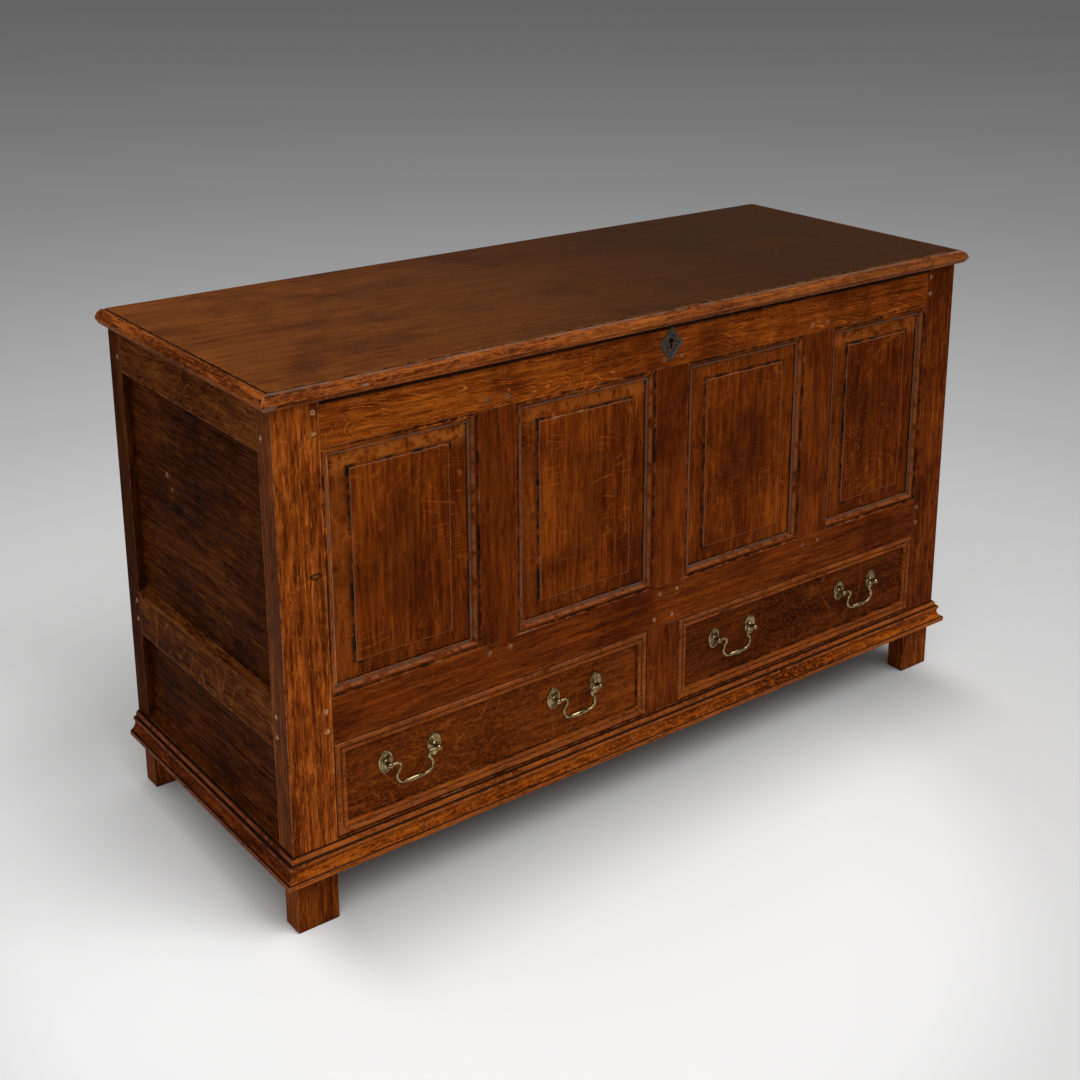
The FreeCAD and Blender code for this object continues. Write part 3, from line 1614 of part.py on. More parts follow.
# ---------------------------------------------------------------- assembly
front_frame()
for hand in HANDS:
    for level in rail_levels:
        side_rail(hand, level)
    side_panels(hand)
    back_stile(hand)
back_frame()
frame_pegs()
well_floor()
drawer_runners()
feet()
base_mouldings()
lid_boards()
lid_mouldings()
lid_cleats()
hinge_plates()
hinge_straps()
escutcheon()
lock_case()
lock_bolt()
lock_staple()
for hand in HANDS:
    drawer(hand)
document.recompute()


# ---------------------------------------------------------------- checks and export
def faults():
    """Everything that failed to build, and every pocket that took nothing away."""
    found = []
    for item in document.Objects:
        if {"Invalid", "Error"} & set(item.State):
            found.append("%s is %s" % (item.Label, item.State))
        if item.TypeId == "PartDesign::Pocket":
            before = item.BaseFeature.Shape.Volume
            if item.Shape.Volume >= before - 0.01:
                found.append("%s cut nothing" % item.Label)
    return found


def nodes():
    """Bodies and groups that stand by themselves; a group's members go with the group."""
    tops = [item for item in document.Objects if item.TypeId in ("PartDesign::Body", "Part::Compound")]
    members = {member.Name for item in tops if item.TypeId == "Part::Compound" for member in item.Links}
    return [item for item in tops if item.Name not in members]


problems = faults()
for node in nodes():
    if node.Shape.isNull() or not node.Shape.isValid():
        problems.append("%s has no valid shape" % node.Label)
if problems:
    raise RuntimeError("; ".join(problems))
os.makedirs("parts", exist_ok=True)
for node in nodes():
    node.Shape.exportStep("parts/%s.step" % node.Label)
print("%d nodes, %d solids" % (len(nodes()), sum(len(node.Shape.Solids) for node in nodes())))
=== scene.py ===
import math
import random

import bmesh
import bpy
from mathutils import Matrix, Vector


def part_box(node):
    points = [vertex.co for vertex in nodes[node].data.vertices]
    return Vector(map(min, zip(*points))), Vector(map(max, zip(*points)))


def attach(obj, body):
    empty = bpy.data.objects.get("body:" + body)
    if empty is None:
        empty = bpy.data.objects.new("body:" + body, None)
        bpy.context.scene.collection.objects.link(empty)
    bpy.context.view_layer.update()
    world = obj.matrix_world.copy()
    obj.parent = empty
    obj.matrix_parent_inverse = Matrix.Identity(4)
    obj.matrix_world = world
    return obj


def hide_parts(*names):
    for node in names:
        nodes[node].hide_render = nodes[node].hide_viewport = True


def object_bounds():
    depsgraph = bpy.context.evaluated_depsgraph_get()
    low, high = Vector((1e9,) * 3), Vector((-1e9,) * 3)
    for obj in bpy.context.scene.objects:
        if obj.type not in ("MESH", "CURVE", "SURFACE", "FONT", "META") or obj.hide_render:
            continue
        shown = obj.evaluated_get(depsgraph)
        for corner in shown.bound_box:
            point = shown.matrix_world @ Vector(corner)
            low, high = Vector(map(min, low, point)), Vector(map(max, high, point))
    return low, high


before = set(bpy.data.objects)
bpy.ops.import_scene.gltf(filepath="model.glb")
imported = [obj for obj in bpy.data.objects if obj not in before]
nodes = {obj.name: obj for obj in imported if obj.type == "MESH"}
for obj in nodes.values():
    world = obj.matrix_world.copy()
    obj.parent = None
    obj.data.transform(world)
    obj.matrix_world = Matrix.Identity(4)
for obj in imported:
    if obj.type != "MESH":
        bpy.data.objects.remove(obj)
cad_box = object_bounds()
MM = 0.001

# Places in the chest's own frame, metres: z from the floor, y grows to the back.
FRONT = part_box("drawer_divider")[0][1]
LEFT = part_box("stile_front_left")[0][0]
RIGHT = -LEFT
STILE_WIDTH = 73 * MM
SIGHT = RIGHT - STILE_WIDTH
RAIL_TOP = 820 * MM
RAIL_BOTTOM = 747 * MM
BELT_TOP = 366 * MM
BELT_BOTTOM = 292 * MM
SIDE_BOARD_JOINT = 569 * MM
LID_TOP = cad_box[1][2]


# ---------------------------------------------------------------- finish maker
class Link:
    """One socket of a finish; arithmetic on it adds the Math nodes."""

    def __init__(self, finish, socket):
        self.finish = finish
        self.socket = socket

    def maths(self, operation, *numbers):
        return self.finish.add("ShaderNodeMath", dict(enumerate(numbers)), operation=operation)

    def __add__(self, other):
        return self.maths("ADD", self, other)

    def __sub__(self, other):
        return self.maths("SUBTRACT", self, other)

    def __mul__(self, other):
        return self.maths("MULTIPLY", self, other)

    def __truediv__(self, other):
        return self.maths("DIVIDE", self, other)

    def __radd__(self, other):
        return self.maths("ADD", other, self)

    def __rsub__(self, other):
        return self.maths("SUBTRACT", other, self)

    def most(self, other):
        return self.maths("MAXIMUM", self, other)

    def least(self, other):
        return self.maths("MINIMUM", self, other)

    def size(self):
        return self.maths("ABSOLUTE", self)

    def sine(self):
        return self.maths("SINE", self)

    def root(self):
        return self.maths("SQRT", self)

    def rise(self, low, high):
        """0 below low, 1 above high, and a smooth climb between; high may be the lesser."""
        return self.finish.add(
            "ShaderNodeMapRange", {0: self, 1: low, 2: high}, interpolation_type="SMOOTHSTEP")

    def line(self, at, half):
        """1 at a value, fading to 0 at a distance of half."""
        return (self - at).size().rise(half, half * 0.3)


class Finish:
    """A material, with short ways to add its nodes."""

    def __init__(self, name, holder=None):
        self.made = holder or bpy.data.materials.new(name)
        self.made.use_nodes = True
        self.tree = self.made.node_tree
        self.tree.nodes.clear()

    def add(self, kind, sockets=(), out=0, **settings):
        """Add a node: its settings first, then its sockets; gives one of its outputs."""
        node = self.tree.nodes.new(kind)
        for key, value in settings.items():
            if key == "stops":
                self.set_stops(node.color_ramp.elements, value)
            else:
                setattr(node, key, value)
        for key, value in dict(sockets).items():
            if isinstance(value, Link):
                self.tree.links.new(value.socket, node.inputs[key])
            else:
                node.inputs[key].default_value = value
        return Link(self, node.outputs[out])

    def set_stops(self, elements, stops):
        while len(elements) < len(stops):
            elements.new(0.5)
        for element, (position, colour) in zip(elements, stops):
            element.position = position
            element.color = (*colour, 1)

    def place(self):
        return self.add("ShaderNodeTexCoord", out="Object")

    def along(self, axis):
        return self.add("ShaderNodeSeparateXYZ", {0: self.place()}, out="XYZ".index(axis))

    def noise(self, scales, detail=3.0, rough=0.5, twist=0.0, shift=0.0):
        """Noise whose scales are in repeats to the metre on x, y and z."""
        where = self.add("ShaderNodeMapping", {
            "Vector": self.place(), "Location": (shift, shift * 1.7, shift * 0.6), "Scale": scales})
        return self.add("ShaderNodeTexNoise", {
            "Vector": where, "Scale": 1.0, "Detail": detail, "Roughness": rough,
            "Distortion": twist})

    def ramp(self, factor, stops):
        return self.add("ShaderNodeValToRGB", {0: factor}, stops=stops)

    def mix(self, factor, one, two):
        """Blend two colours; a plain tuple is a colour too."""
        one, two = [item if isinstance(item, Link) else (*item, 1) for item in (one, two)]
        return self.add("ShaderNodeMix", {0: factor, 6: one, 7: two}, out=2, data_type="RGBA")

    def vector(self, operation, *items, out=0):
        """Maths on vectors; the length and the dot product are output 1."""
        return self.add("ShaderNodeVectorMath", dict(enumerate(items)), out, operation=operation)

    def distance(self, middle):
        """How far a point is from the middle, metres."""
        return self.vector("LENGTH", self.vector("SUBTRACT", self.place(), middle), out=1)

    def edges(self, radius):
        """The normal with its edges eased, and how far that turns from the true one."""
        eased = self.add("ShaderNodeBevel", {"Radius": radius}, samples=4)
        true = self.add("ShaderNodeNewGeometry", out="Normal")
        return eased, 1 - self.vector("DOT_PRODUCT", eased, true, out=1)

    def open_air(self, distance, samples):
        """1 out in the open, less in hollows."""
        return self.add(
            "ShaderNodeAmbientOcclusion", {"Distance": distance}, out="AO", samples=samples)

    def bump(self, strength, depth, height, sockets=()):
        """A normal bent by a height; the depth is in metres."""
        return self.add("ShaderNodeBump", {
            "Strength": strength, "Distance": depth, "Height": height, **dict(sockets)})

    def close(self, sockets):
        """Finish with one Principled shader."""
        shader = self.add("ShaderNodeBsdfPrincipled", sockets)
        self.add_output(shader)
        return self.made

    def add_output(self, shader, kind="ShaderNodeOutputMaterial"):
        node = self.tree.nodes.new(kind)
        self.tree.links.new(shader.socket, node.inputs[0])


def run(axis, lengthwise, crosswise):
    """Three scales for wood whose grain runs along one axis."""
    return tuple(lengthwise if name == axis else crosswise for name in "XYZ")


# ---------------------------------------------------------------- oak
# What lies on the wood, what shows where it is worn, and the colours given to painted light and
# painted shade.
WAX = (0.165, 0.112, 0.080)
# Soot in knots and joints; also the colour of painted shade in hollows, quirks and under the lid.
SOOT_AND_SHADE = (0.008, 0.005, 0.003)
RUBBED = (0.250, 0.064, 0.012)
# Painted light on the panels' top margins and, fainter, their left ones.
PAINTED_LIGHT = (0.330, 0.088, 0.0130)
# Grime; also the colour of painted shade on the moulding under the top rail and on the panels'
# bottom margins.
GRIME_AND_SHADE = (0.034, 0.0065, 0.0014)
PALE = (0.260, 0.150, 0.095)
CHAFED = (0.360, 0.230, 0.170)


def oak(name, grain, tone, seed, figure=0.5, contrast=1.0, polish=0.012, marks=(), lines=(),
        shade=None, wear=1.0, arcs=(5, 5, 120), flecks=0.0, spots=()):
    """Old waxed oak, its grain along one axis and its mean colour the tone.

    figure   strength of the silver rays
    contrast strength of the grain
    polish   specular level
    marks    (axis, from, to, share, colour, limit): places that hold wax, grime or a rubbed
         face, or take painted light or painted shade; a limit (axis, from, to) keeps them to
         the side past its second number
    lines    (axis, place, half width) of dark lines: soot in joints and grooves, and painted shade in the base's quirks and under the lid
    shade    (axis, from, to, share): painted shade, a darkening towards the second place
    wear     how much the edges are rubbed
    arcs     the rays' repeats to the metre along and across the grain, and their number
    flecks   strength of a short burr figure
    spots    (middle, radii, share, colour) of knots, nicks and patches
    """
    finish = Finish(name)
    board = finish.noise(run(grain, 1.6, 7), 3.0, 0.55, 0.6, seed)
    band = finish.noise(run(grain, 8, 120), 5.0, 0.76, 0.35, seed + 2)
    fibre = finish.noise(run(grain, 26, 330), 3.0, 0.7, 0.3, seed)
    dash = finish.noise(run(grain, 42, 330), 3.0, 0.65, 0.3, seed + 3)
    patina = finish.noise((7, 7, 7), 5.0, 0.62, 0.3, seed + 9)
    field = finish.noise(run(grain, 5, 11), 2.0, 0.5, 0.4, seed + 5).rise(0.40, 0.56)
    broken = finish.noise((50, 50, 50), 4.0, 0.7, 0.0, seed + 11)
    swirl = finish.noise(run(grain, arcs[0], arcs[1]), 0.0, 0.5, 0.5, seed + 7)
    rays = (swirl * arcs[2]).sine().rise(0.80, 0.98) * field * broken.rise(0.46, 0.54)

    def scaled(red, green, blue):
        return (tone[0] * red, tone[1] * green, tone[2] * blue)

    value = board * 0.20 + band * 0.46 + fibre * 0.18 + patina * 0.16
    spread = 0.072 / contrast
    wood = finish.ramp(value, [
        (0.5 - spread * 1.5, scaled(0.28, 0.22, 0.20)),
        (0.5 - spread * 0.4, scaled(0.78, 0.74, 0.72)),
        (0.5 + spread * 0.5, scaled(1.28, 1.36, 1.35)),
        (0.5 + spread * 1.6, scaled(2.3, 2.9, 3.0)),
    ])
    wood = finish.mix(rays * figure, wood, scaled(2.8, 3.8, 5.0))
    cut = min(contrast, 1.2) ** 2 * 0.55
    wood = finish.mix(dash.rise(0.585, 0.63) * cut, wood, scaled(0.17, 0.12, 0.12))
    wood = finish.mix(dash.rise(0.42, 0.36) * cut * 0.7, wood, scaled(2.0, 2.5, 2.6))
    wood = finish.mix(patina.rise(0.50, 0.32) * 0.5, wood, scaled(0.36, 0.30, 0.30))
    if flecks:
        small = finish.noise(run(grain, 140, 230), 2.0, 0.6, 0.8, seed + 6)
        wood = finish.mix(small.rise(0.53, 0.60) * flecks, wood, scaled(2.3, 2.6, 2.2))
        wood = finish.mix(small.rise(0.44, 0.38) * flecks * 0.6, wood, scaled(0.3, 0.25, 0.25))
    if shade:
        axis, start, end, share = shade
        # Painted shade.
        painted_shade_share = finish.along(axis).rise(start, end) * share
        wood = finish.mix(painted_shade_share, wood, scaled(0.22, 0.34, 0.9))

    eased, turned = finish.edges(2.2 * MM)
    worn = turned.rise(0.01, 0.10) * broken.rise(0.40, 0.56) * wear
    rubbed = worn.least(1)

    sheen = patina * 0
    for axis, start, end, share, colour, limit in marks:
        held = finish.along(axis).line((start + end) / 2, (end - start) / 2)
        if limit:
            held = held * finish.along(limit[0]).rise(limit[1], limit[2])
        held = held * broken.rise(0.64, 0.42)
        wood = finish.mix(held * share, wood, colour)
        if colour in (WAX, RUBBED):
            sheen = sheen.most(held)
    for middle, radii, share, colour in spots:
        offset = finish.vector("DIVIDE", finish.vector("SUBTRACT", finish.place(), middle), radii)
        away = finish.vector("LENGTH", offset, out=1)
        wood = finish.mix((away + broken).rise(1.5, 1.2) * share, wood, colour)
    # Painted shade: darker in hollows and where parts meet, by ambient occlusion.
    wood = finish.mix(finish.open_air(11 * MM, 4).rise(0.80, 0.32) * 0.92, wood, SOOT_AND_SHADE)
    wood = finish.mix(rubbed, wood, scaled(2.9, 3.8, 4.6))
    wood = finish.mix(worn * broken.rise(0.58, 0.66) * 0.8, wood, CHAFED)
    # Dark lines: soot in joints and grooves, and painted shade in quirks and under the lid.
    dark = patina * 0
    for axis, at, half in lines:
        dark = dark.most(finish.along(axis).line(at, half) * 0.9)
    wood = finish.mix(dark, wood, SOOT_AND_SHADE)

    height = band * 0.6 + fibre * 0.5 - dash.rise(0.58, 0.70) * 0.5 + patina * 0.5
    bump = finish.bump(0.6, 0.7 * MM, height, {"Normal": eased})
    rough = 0.36 + patina * 0.2 - rays * 0.08 + dark * 0.3
    coat = (rubbed * 0.5 + sheen * broken * 0.35) * (1 - dark)
    return finish.close({"Base Color": wood, "Roughness": rough, "Normal": bump,
                         "Coat Weight": coat, "Coat Roughness": 0.28,
                         "Specular IOR Level": polish})


# Mean tones of the wood, two levels of polish, and the half width of the soot in a joint.
FACE = (0.096, 0.0166, 0.0016)
FRAME = (0.145, 0.0280, 0.0022)
BRIGHT = (0.222, 0.0470, 0.0052)
RAIL = (0.170, 0.0330, 0.0030)
PANEL = (0.102, 0.0176, 0.0014)
LID = (0.160, 0.0410, 0.0048)
EDGE = (0.215, 0.0480, 0.0070)
FOOT = (0.118, 0.0240, 0.0024)
DIM = (0.050, 0.0105, 0.0015)
OLIVE = (0.098, 0.0240, 0.0036)
BARE = (0.200, 0.1000, 0.0420)
BURR = {"left": (0.086, 0.0160, 0.0018), "right": (0.060, 0.0106, 0.0012)}
DULL = 0.004
SHINY = 0.03
SEAM = 0.9 * MM


def run_moulding(limit=None, face=RUBBED):
    """Wax, a rubbed face and painted shade at their depths in the moulding run round the openings;
    the shade lies in its quirk and at its foot. A dark face colour, as given for the top rail,
    is painted shade too.
    """
    # Painted shade in the quirk and at the moulding's foot, where it meets the panel.
    depths = ((1.6, 7.6, 0.80, face), (0.0, 2.3, 0.95, SOOT_AND_SHADE), (6.2, 9.1, 0.85, WAX),
              (8.2, 12.6, 0.98, SOOT_AND_SHADE))
    return [("Y", FRONT + start * MM, FRONT + end * MM, share, colour, limit)
            for start, end, share, colour in depths]


def margins(name, lit_share):
    """Marks on a fielded panel: a little grime on its margins; painted light on its top margin
    and, fainter, its left one, and painted shade on its bottom one, as if lit from above and
    the left; painted shade along its field's edge, heaviest at the left and top; and wax and a
    rubbed face along the field's edge. The field lies 7 mm behind the front's face and the
    margins lie deeper, sloping back; the number after the name is how strongly the painted
    light pales them."""
    low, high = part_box(name)
    sloping = ("Y", FRONT + 7.4 * MM, FRONT + 7.9 * MM)
    marks = [("Y", FRONT + 7.4 * MM, FRONT + 13.0 * MM, 0.08, GRIME_AND_SHADE, None),
             # Painted light on the top margin and, fainter, the left one.
             ("Z", high[2] - 46 * MM, high[2] + 16 * MM, lit_share, PAINTED_LIGHT, sloping),
             ("X", low[0] - 10 * MM, low[0] + 50 * MM, lit_share * 0.3, PAINTED_LIGHT, sloping),
             # Painted shade on the bottom margin.
             ("Z", low[2] - 10 * MM, low[2] + 44 * MM, 0.08, GRIME_AND_SHADE, sloping),
             # Painted shade all round the field's edge.
             ("Y", FRONT + 7.3 * MM, FRONT + 8.6 * MM, 0.50, SOOT_AND_SHADE, None)]
    # More painted shade along the field's left and top edges.
    left_side = ("X", low[0] + 60 * MM, low[0] + 48 * MM)
    top_side = ("Z", high[2] - 50 * MM, high[2] - 40 * MM)
    for side in (left_side, top_side):
        marks.append(("Y", FRONT + 7.3 * MM, FRONT + 9.1 * MM, 0.95, SOOT_AND_SHADE, side))
    field = ("Y", FRONT + 7.5 * MM, FRONT + 7.2 * MM)
    across, upright = 41 * MM, 34 * MM
    for axis, at, share, colour in (("X", low[0] + across, 0.6, WAX),
                                    ("Z", high[2] - upright, 0.6, WAX),
                                    ("X", high[0] - across, 0.7, RUBBED),
                                    ("Z", low[2] + upright, 0.6, RUBBED)):
        marks.append((axis, at - 2.0 * MM, at + 2.0 * MM, share, colour, field))
    return marks


def worn_middle(name):
    """The darker patch in the middle of a field."""
    low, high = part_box(name)
    middle = ((low[0] + high[0]) / 2, FRONT, (low[2] + high[2]) / 2)
    return (middle, (0.055, 0.1, 0.110), 0.26, GRIME_AND_SHADE)


# Painted shade in the quirks of the base moulding.
base_quirk_shade = [("Z", level * MM, half * MM)
               for level, half in ((100.2, 0.8), (116.2, 1.2), (124, 1.4), (133, 1.3))]
base_beads = [("Z", start * MM, end * MM, 0.6, RUBBED, None)
              for start, end in ((116, 124), (124, 133), (92, 100))]
# The drawers' bead moulding: a rubbed bead, and painted shade in the quirks behind it.
drawer_beads = [("Y", FRONT - 4.0 * MM, FRONT + 1.6 * MM, 0.45, RUBBED, None),
                ("Y", FRONT + 0.6 * MM, FRONT + 7.0 * MM, 0.97, SOOT_AND_SHADE, None)]
# Painted shadow: a dark line on the rails just under the lid.
painted_shadow_under_lid = [("Z", RAIL_TOP - 6 * MM, 5 * MM)]


def end_lines(axis, low, high):
    """Soot in the joints at both ends of a member."""
    return [(axis, low, SEAM), (axis, high, SEAM)]


def put(name, material):
    """Give a node its one material."""
    nodes[name].data.materials.clear()
    nodes[name].data.materials.append(material)


# The front frame and its panels.
knot = (-0.6475, FRONT, 0.5607)
# Painted shade on the left stile's side face.
put("stile_front_left", oak(
    "streaked_stile_left", "Z", BRIGHT, 1, 0.1, 1.35, wear=1.3,
    marks=run_moulding(("X", -SIGHT - 1 * MM, -SIGHT)),
    shade=("X", LEFT + 2 * MM, LEFT + 0.5 * MM, 0.5),
    spots=[(knot, (0.012, 0.02, 0.0065), 0.85, SOOT_AND_SHADE), (knot, (0.007, 0.02, 0.003), 0.5, RUBBED)]))
put("stile_front_right", oak(
    "streaked_stile_right", "Z", FACE, 2, 0.1, 1.2,
    marks=run_moulding(("X", SIGHT + 1 * MM, SIGHT))))
# The moulding under the top rail faces down, and its face gets painted shade; the rail also gets a
# painted shadow under the lid.
put("front_top_rail", oak(
    "rayed_top_rail", "X", RAIL, 3, 0.9, 1.1, arcs=(4, 14, 170),
    marks=run_moulding(face=GRIME_AND_SHADE), lines=end_lines("X", -SIGHT, SIGHT) + painted_shadow_under_lid))
put("front_middle_rail", oak(
    "middle_rail_oak", "X", FACE, 4, 0.1,
    marks=run_moulding(), lines=end_lines("X", -SIGHT, SIGHT)))
put("front_bottom_rail", oak("bottom_rail_oak", "X", FACE, 5, 0.3))
for number, name in enumerate(("muntin_left", "muntin_middle", "muntin_right")):
    put(name, oak(
        name + "_oak", "Z", FACE, 6 + number, 0.1, 0.9,
        marks=run_moulding(), lines=end_lines("Z", BELT_TOP, RAIL_BOTTOM)))
put("drawer_divider", oak(
    "divider_oak", "Z", FACE, 10, 0.2, lines=[("Z", BELT_BOTTOM, SEAM)]))
# How strongly each panel's top margin gets painted light.
panel_lit_share = (("outer_left", 0.75), ("inner_left", 0.50), ("inner_right", 0.12),
              ("outer_right", 0.50))
for number, (name, lit_share) in enumerate(panel_lit_share):
    put("panel_" + name, oak(
        "fielded_panel_" + name, "Z", PANEL, 12 + number * 2, 0.5, 1.0,
        marks=margins("panel_" + name, lit_share), arcs=(10, 4, 150), wear=1.5,
        spots=[worn_middle("panel_" + name)]))

# The sides, which are dimmer, the ends of the lid and base, and the drawers.
for hand, outward in (("left", -1), ("right", 1)):
    number = 22 + outward
    lip = (RIGHT + 3.5 * MM) * outward
    put("stile_back_" + hand, oak(
        "back_stile_%s_oak" % hand, "Z", DIM, number, 0.1, polish=DULL))
    put(hand + "_top_rail", oak(
        "side_top_rail_%s_oak" % hand, "Y", OLIVE, number + 2, 0.5, 1.3, DULL,
        arcs=(6, 6, 190), flecks=0.35, lines=painted_shadow_under_lid))
    put(hand + "_middle_rail", oak(
        "side_middle_rail_%s_oak" % hand, "Y", OLIVE, number + 4, 0.45, 1.3, DULL,
        arcs=(7, 1.2, 90)))
    put(hand + "_bottom_rail", oak(
        "side_bottom_rail_%s_oak" % hand, "Y", DIM, number + 6, 0.1, polish=DULL))
    put(hand + "_side_panels", oak(
        "side_boards_%s_oak" % hand, "Y", DIM, number + 8, 0.15, 1.5, DULL,
        lines=[("Z", SIDE_BOARD_JOINT, 1.1 * MM)],
        spots=[((LEFT, 0.115, 0.607), (0.05, 0.007, 0.006), 0.6, PALE),
               ((LEFT, 0.100, 0.587), (0.05, 0.004, 0.005), 0.5, PALE)]))
    put("base_moulding_" + hand, oak(
        "base_%s_oak" % hand, "Y", FACE, number + 10, 0.1, 1.4,
        marks=base_beads, lines=base_quirk_shade, wear=1.6, flecks=0.5))
    put("lid_moulding_" + hand, oak(
        "lid_edge_%s_oak" % hand, "Y", EDGE, number + 12, 0.1, 1.4,
        lines=[("X", lip, 5.0 * MM)], wear=1.5, flecks=0.3))
    put("drawer_%s_front" % hand, oak(
        "drawer_%s_rayed_oak" % hand, "X", BURR[hand], number + 14, 0.6, 0.9, flecks=0.5))
    put("drawer_%s_moulding" % hand, oak(
        "drawer_%s_bead_oak" % hand, "X", FRAME, number + 16, 0.0, marks=drawer_beads, wear=1.5))
    for part, grain in (("sides", "Y"), ("back", "X"), ("bottom", "X")):
        node = "drawer_%s_%s" % (hand, part)
        put(node, oak(node + "_oak", grain, BARE, 50, 0.3, 0.6))

# The base, the lid and the feet.
put("base_moulding_front", oak(
    "base_front_oak", "X", FRAME, 60, 0.1, 1.5,
    marks=base_beads, lines=base_quirk_shade, wear=1.7, flecks=0.6))
nicks = [((-0.7120, FRONT - 10 * MM, 0.8250), (0.013, 0.014, 0.006), 0.55, PALE),
         ((-0.5666, FRONT - 10 * MM, 0.8310), (0.006, 0.014, 0.003), 0.6, PALE)]
# Painted shade: the lid's front edge darkens towards the right.
put("lid_moulding_front", oak(
    "lid_edge_front_oak", "X", EDGE, 61, 0.1, 1.3, SHINY,
    marks=[("Y", FRONT - 11 * MM, FRONT + 4 * MM, 0.7, WAX, None)],
    lines=[("Y", FRONT - 1.0 * MM, 5.0 * MM)],
    shade=("X", -0.35, 0.30, 0.45), wear=1.8, flecks=0.3, spots=nicks))
lid_near, lid_far = [corner[1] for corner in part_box("lid_boards")]
lid_pitch = (lid_far - lid_near) / 3
clenches = [((LEFT + across * MM, FRONT + (515 + side * 9) * MM, LID_TOP), (0.016, 0.003, 0.02),
             0.7, GRIME_AND_SHADE)
            for across in (323, 1100) for side in (-1, 1)]
scratches = [((-0.66, 0.00, LID_TOP), (0.030, 0.004, 0.02), 0.45, GRIME_AND_SHADE),
             ((-0.64, -0.02, LID_TOP), (0.012, 0.003, 0.02), 0.45, GRIME_AND_SHADE)]
# Painted shade: the lid darkens towards the right.
put("lid_boards", oak(
    "lid_oak", "X", LID, 62, 0.06, 0.5, SHINY, shade=("X", -0.80, 0.38, 0.86), wear=0.8,
    lines=[("Y", lid_near + lid_pitch * step, 0.7 * MM) for step in (1, 2)],
    spots=clenches + scratches))
put("feet", oak("foot_oak", "Z", FOOT, 64, 0.1, 1.2, wear=1.5))

# Unwaxed oak inside and behind.
for name, material, grain, seed, figure in (
        ("lid_cleats", "cleat_oak", "Y", 65, 0.2),
        ("back_frame", "back_frame_oak", "X", 66, 0.2),
        ("back_panels", "back_panel_oak", "X", 67, 0.3),
        ("well_floor_boards", "well_floor_oak", "Y", 68, 0.2),
        ("drawer_runners", "runner_oak", "Y", 69, 0.1)):
    put(name, oak(material, grain, BARE, seed, figure, 0.6))


# ---------------------------------------------------------------- metal
def brass():
    """Old cast brass: rubbed where it is handled, with brown tarnish and painted shade in the
    hollows and close to the wood.
    """
    finish = Finish("aged_brass")
    cloud = finish.noise((150, 150, 150), 3.0, 0.55, 0.3, 2)
    spot = finish.noise((600, 600, 600), 2.0, 0.5, 0.0, 5).rise(0.60, 0.74)
    colour = finish.ramp(cloud, [(0.34, (0.130, 0.084, 0.034)), (0.50, (0.270, 0.188, 0.084)),
                                 (0.66, (0.420, 0.310, 0.155))])
    colour = finish.mix(spot * 0.5, colour, (0.07, 0.045, 0.018))
    # Brown tarnish in hollows, and painted shade there and close to the drawer's front, by ambient
    # occlusion.
    tarnish_and_shade = finish.open_air(7 * MM, 6).rise(0.88, 0.48) * 0.94
    colour = finish.mix(tarnish_and_shade, colour, (0.026, 0.015, 0.007))
    bump = finish.bump(0.3, 0.2 * MM, cloud)
    rough = 0.36 - cloud * 0.25 + spot * 0.2
    return finish.close({"Base Color": colour, "Metallic": 1.0, "Roughness": rough,
                         "Normal": bump})


def iron(name, tone):
    """Hand-worked iron, pitted and dark, rubbed bright on its edges."""
    finish = Finish(name)
    cloud = finish.noise((210, 210, 210), 4.0, 0.65, 0.2, 3)
    pit = finish.noise((900, 900, 900), 2.0, 0.5, 0.0, 1).rise(0.55, 0.70)
    dark, bright = [tuple(part * share for part in tone) for share in (0.25, 1.6)]
    colour = finish.ramp(cloud, [(0.40, dark), (0.64, bright)])
    eased, turned = finish.edges(0.7 * MM)
    colour = finish.mix(turned.rise(0.015, 0.12) * 0.9, colour, (0.42, 0.38, 0.34))
    colour = finish.mix(pit * 0.5, colour, (0.02, 0.012, 0.008))
    bump = finish.bump(0.5, 0.3 * MM, cloud - pit * 0.4, {"Normal": eased})
    return finish.close({"Base Color": colour, "Metallic": 0.75, "Roughness": 0.36 + cloud * 0.3,
                         "Normal": bump})


aged_brass = brass()
dark_iron = iron("forged_iron", (0.070, 0.050, 0.038))
for name in ("escutcheon", "lock_case", "lock_bolt", "lock_staple", "hinge_plates", "hinge_straps"):
    put(name, dark_iron)


# ---------------------------------------------------------------- mesh helpers
def added(name, data):
    """A new object in the scene, for data of any kind."""
    item = bpy.data.objects.new(name, data)
    bpy.context.scene.collection.objects.link(item)
    return item


def to_data(name, mesh):
    """Mesh data from a working mesh, which is freed."""
    data = bpy.data.meshes.new(name)
    mesh.to_mesh(data)
    mesh.free()
    return data


def welded(name, mesh):
    """Mesh data with its doubled points joined and its faces turned outward."""
    bmesh.ops.remove_doubles(mesh, verts=mesh.verts, dist=0.01 * MM)
    bmesh.ops.recalc_face_normals(mesh, faces=mesh.faces)
    return to_data(name, mesh)


def finished(name, mesh, material, body):
    """Turn a mesh into a piece that rides on a body, its place already in its mesh."""
    data = welded(name, mesh)
    data.shade_smooth()
    data.set_sharp_from_angle(angle=math.radians(40))
    data.materials.append(material)
    item = added(name, data)
    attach(item, body)
    return item


def only(kind, geometry):
    """The vertices or the faces out of what a mesh operator gives."""
    return [item for item in geometry if isinstance(item, kind)]


def corners(faces):
    """The vertices of some faces, each once."""
    return list({vert for face in faces for vert in face.verts})


def quarter_turn(mesh, axis, verts):
    """Turn vertices a quarter round an axis through the origin."""
    bmesh.ops.rotate(
        mesh, cent=(0, 0, 0), matrix=Matrix.Rotation(math.pi / 2, 3, axis), verts=verts)


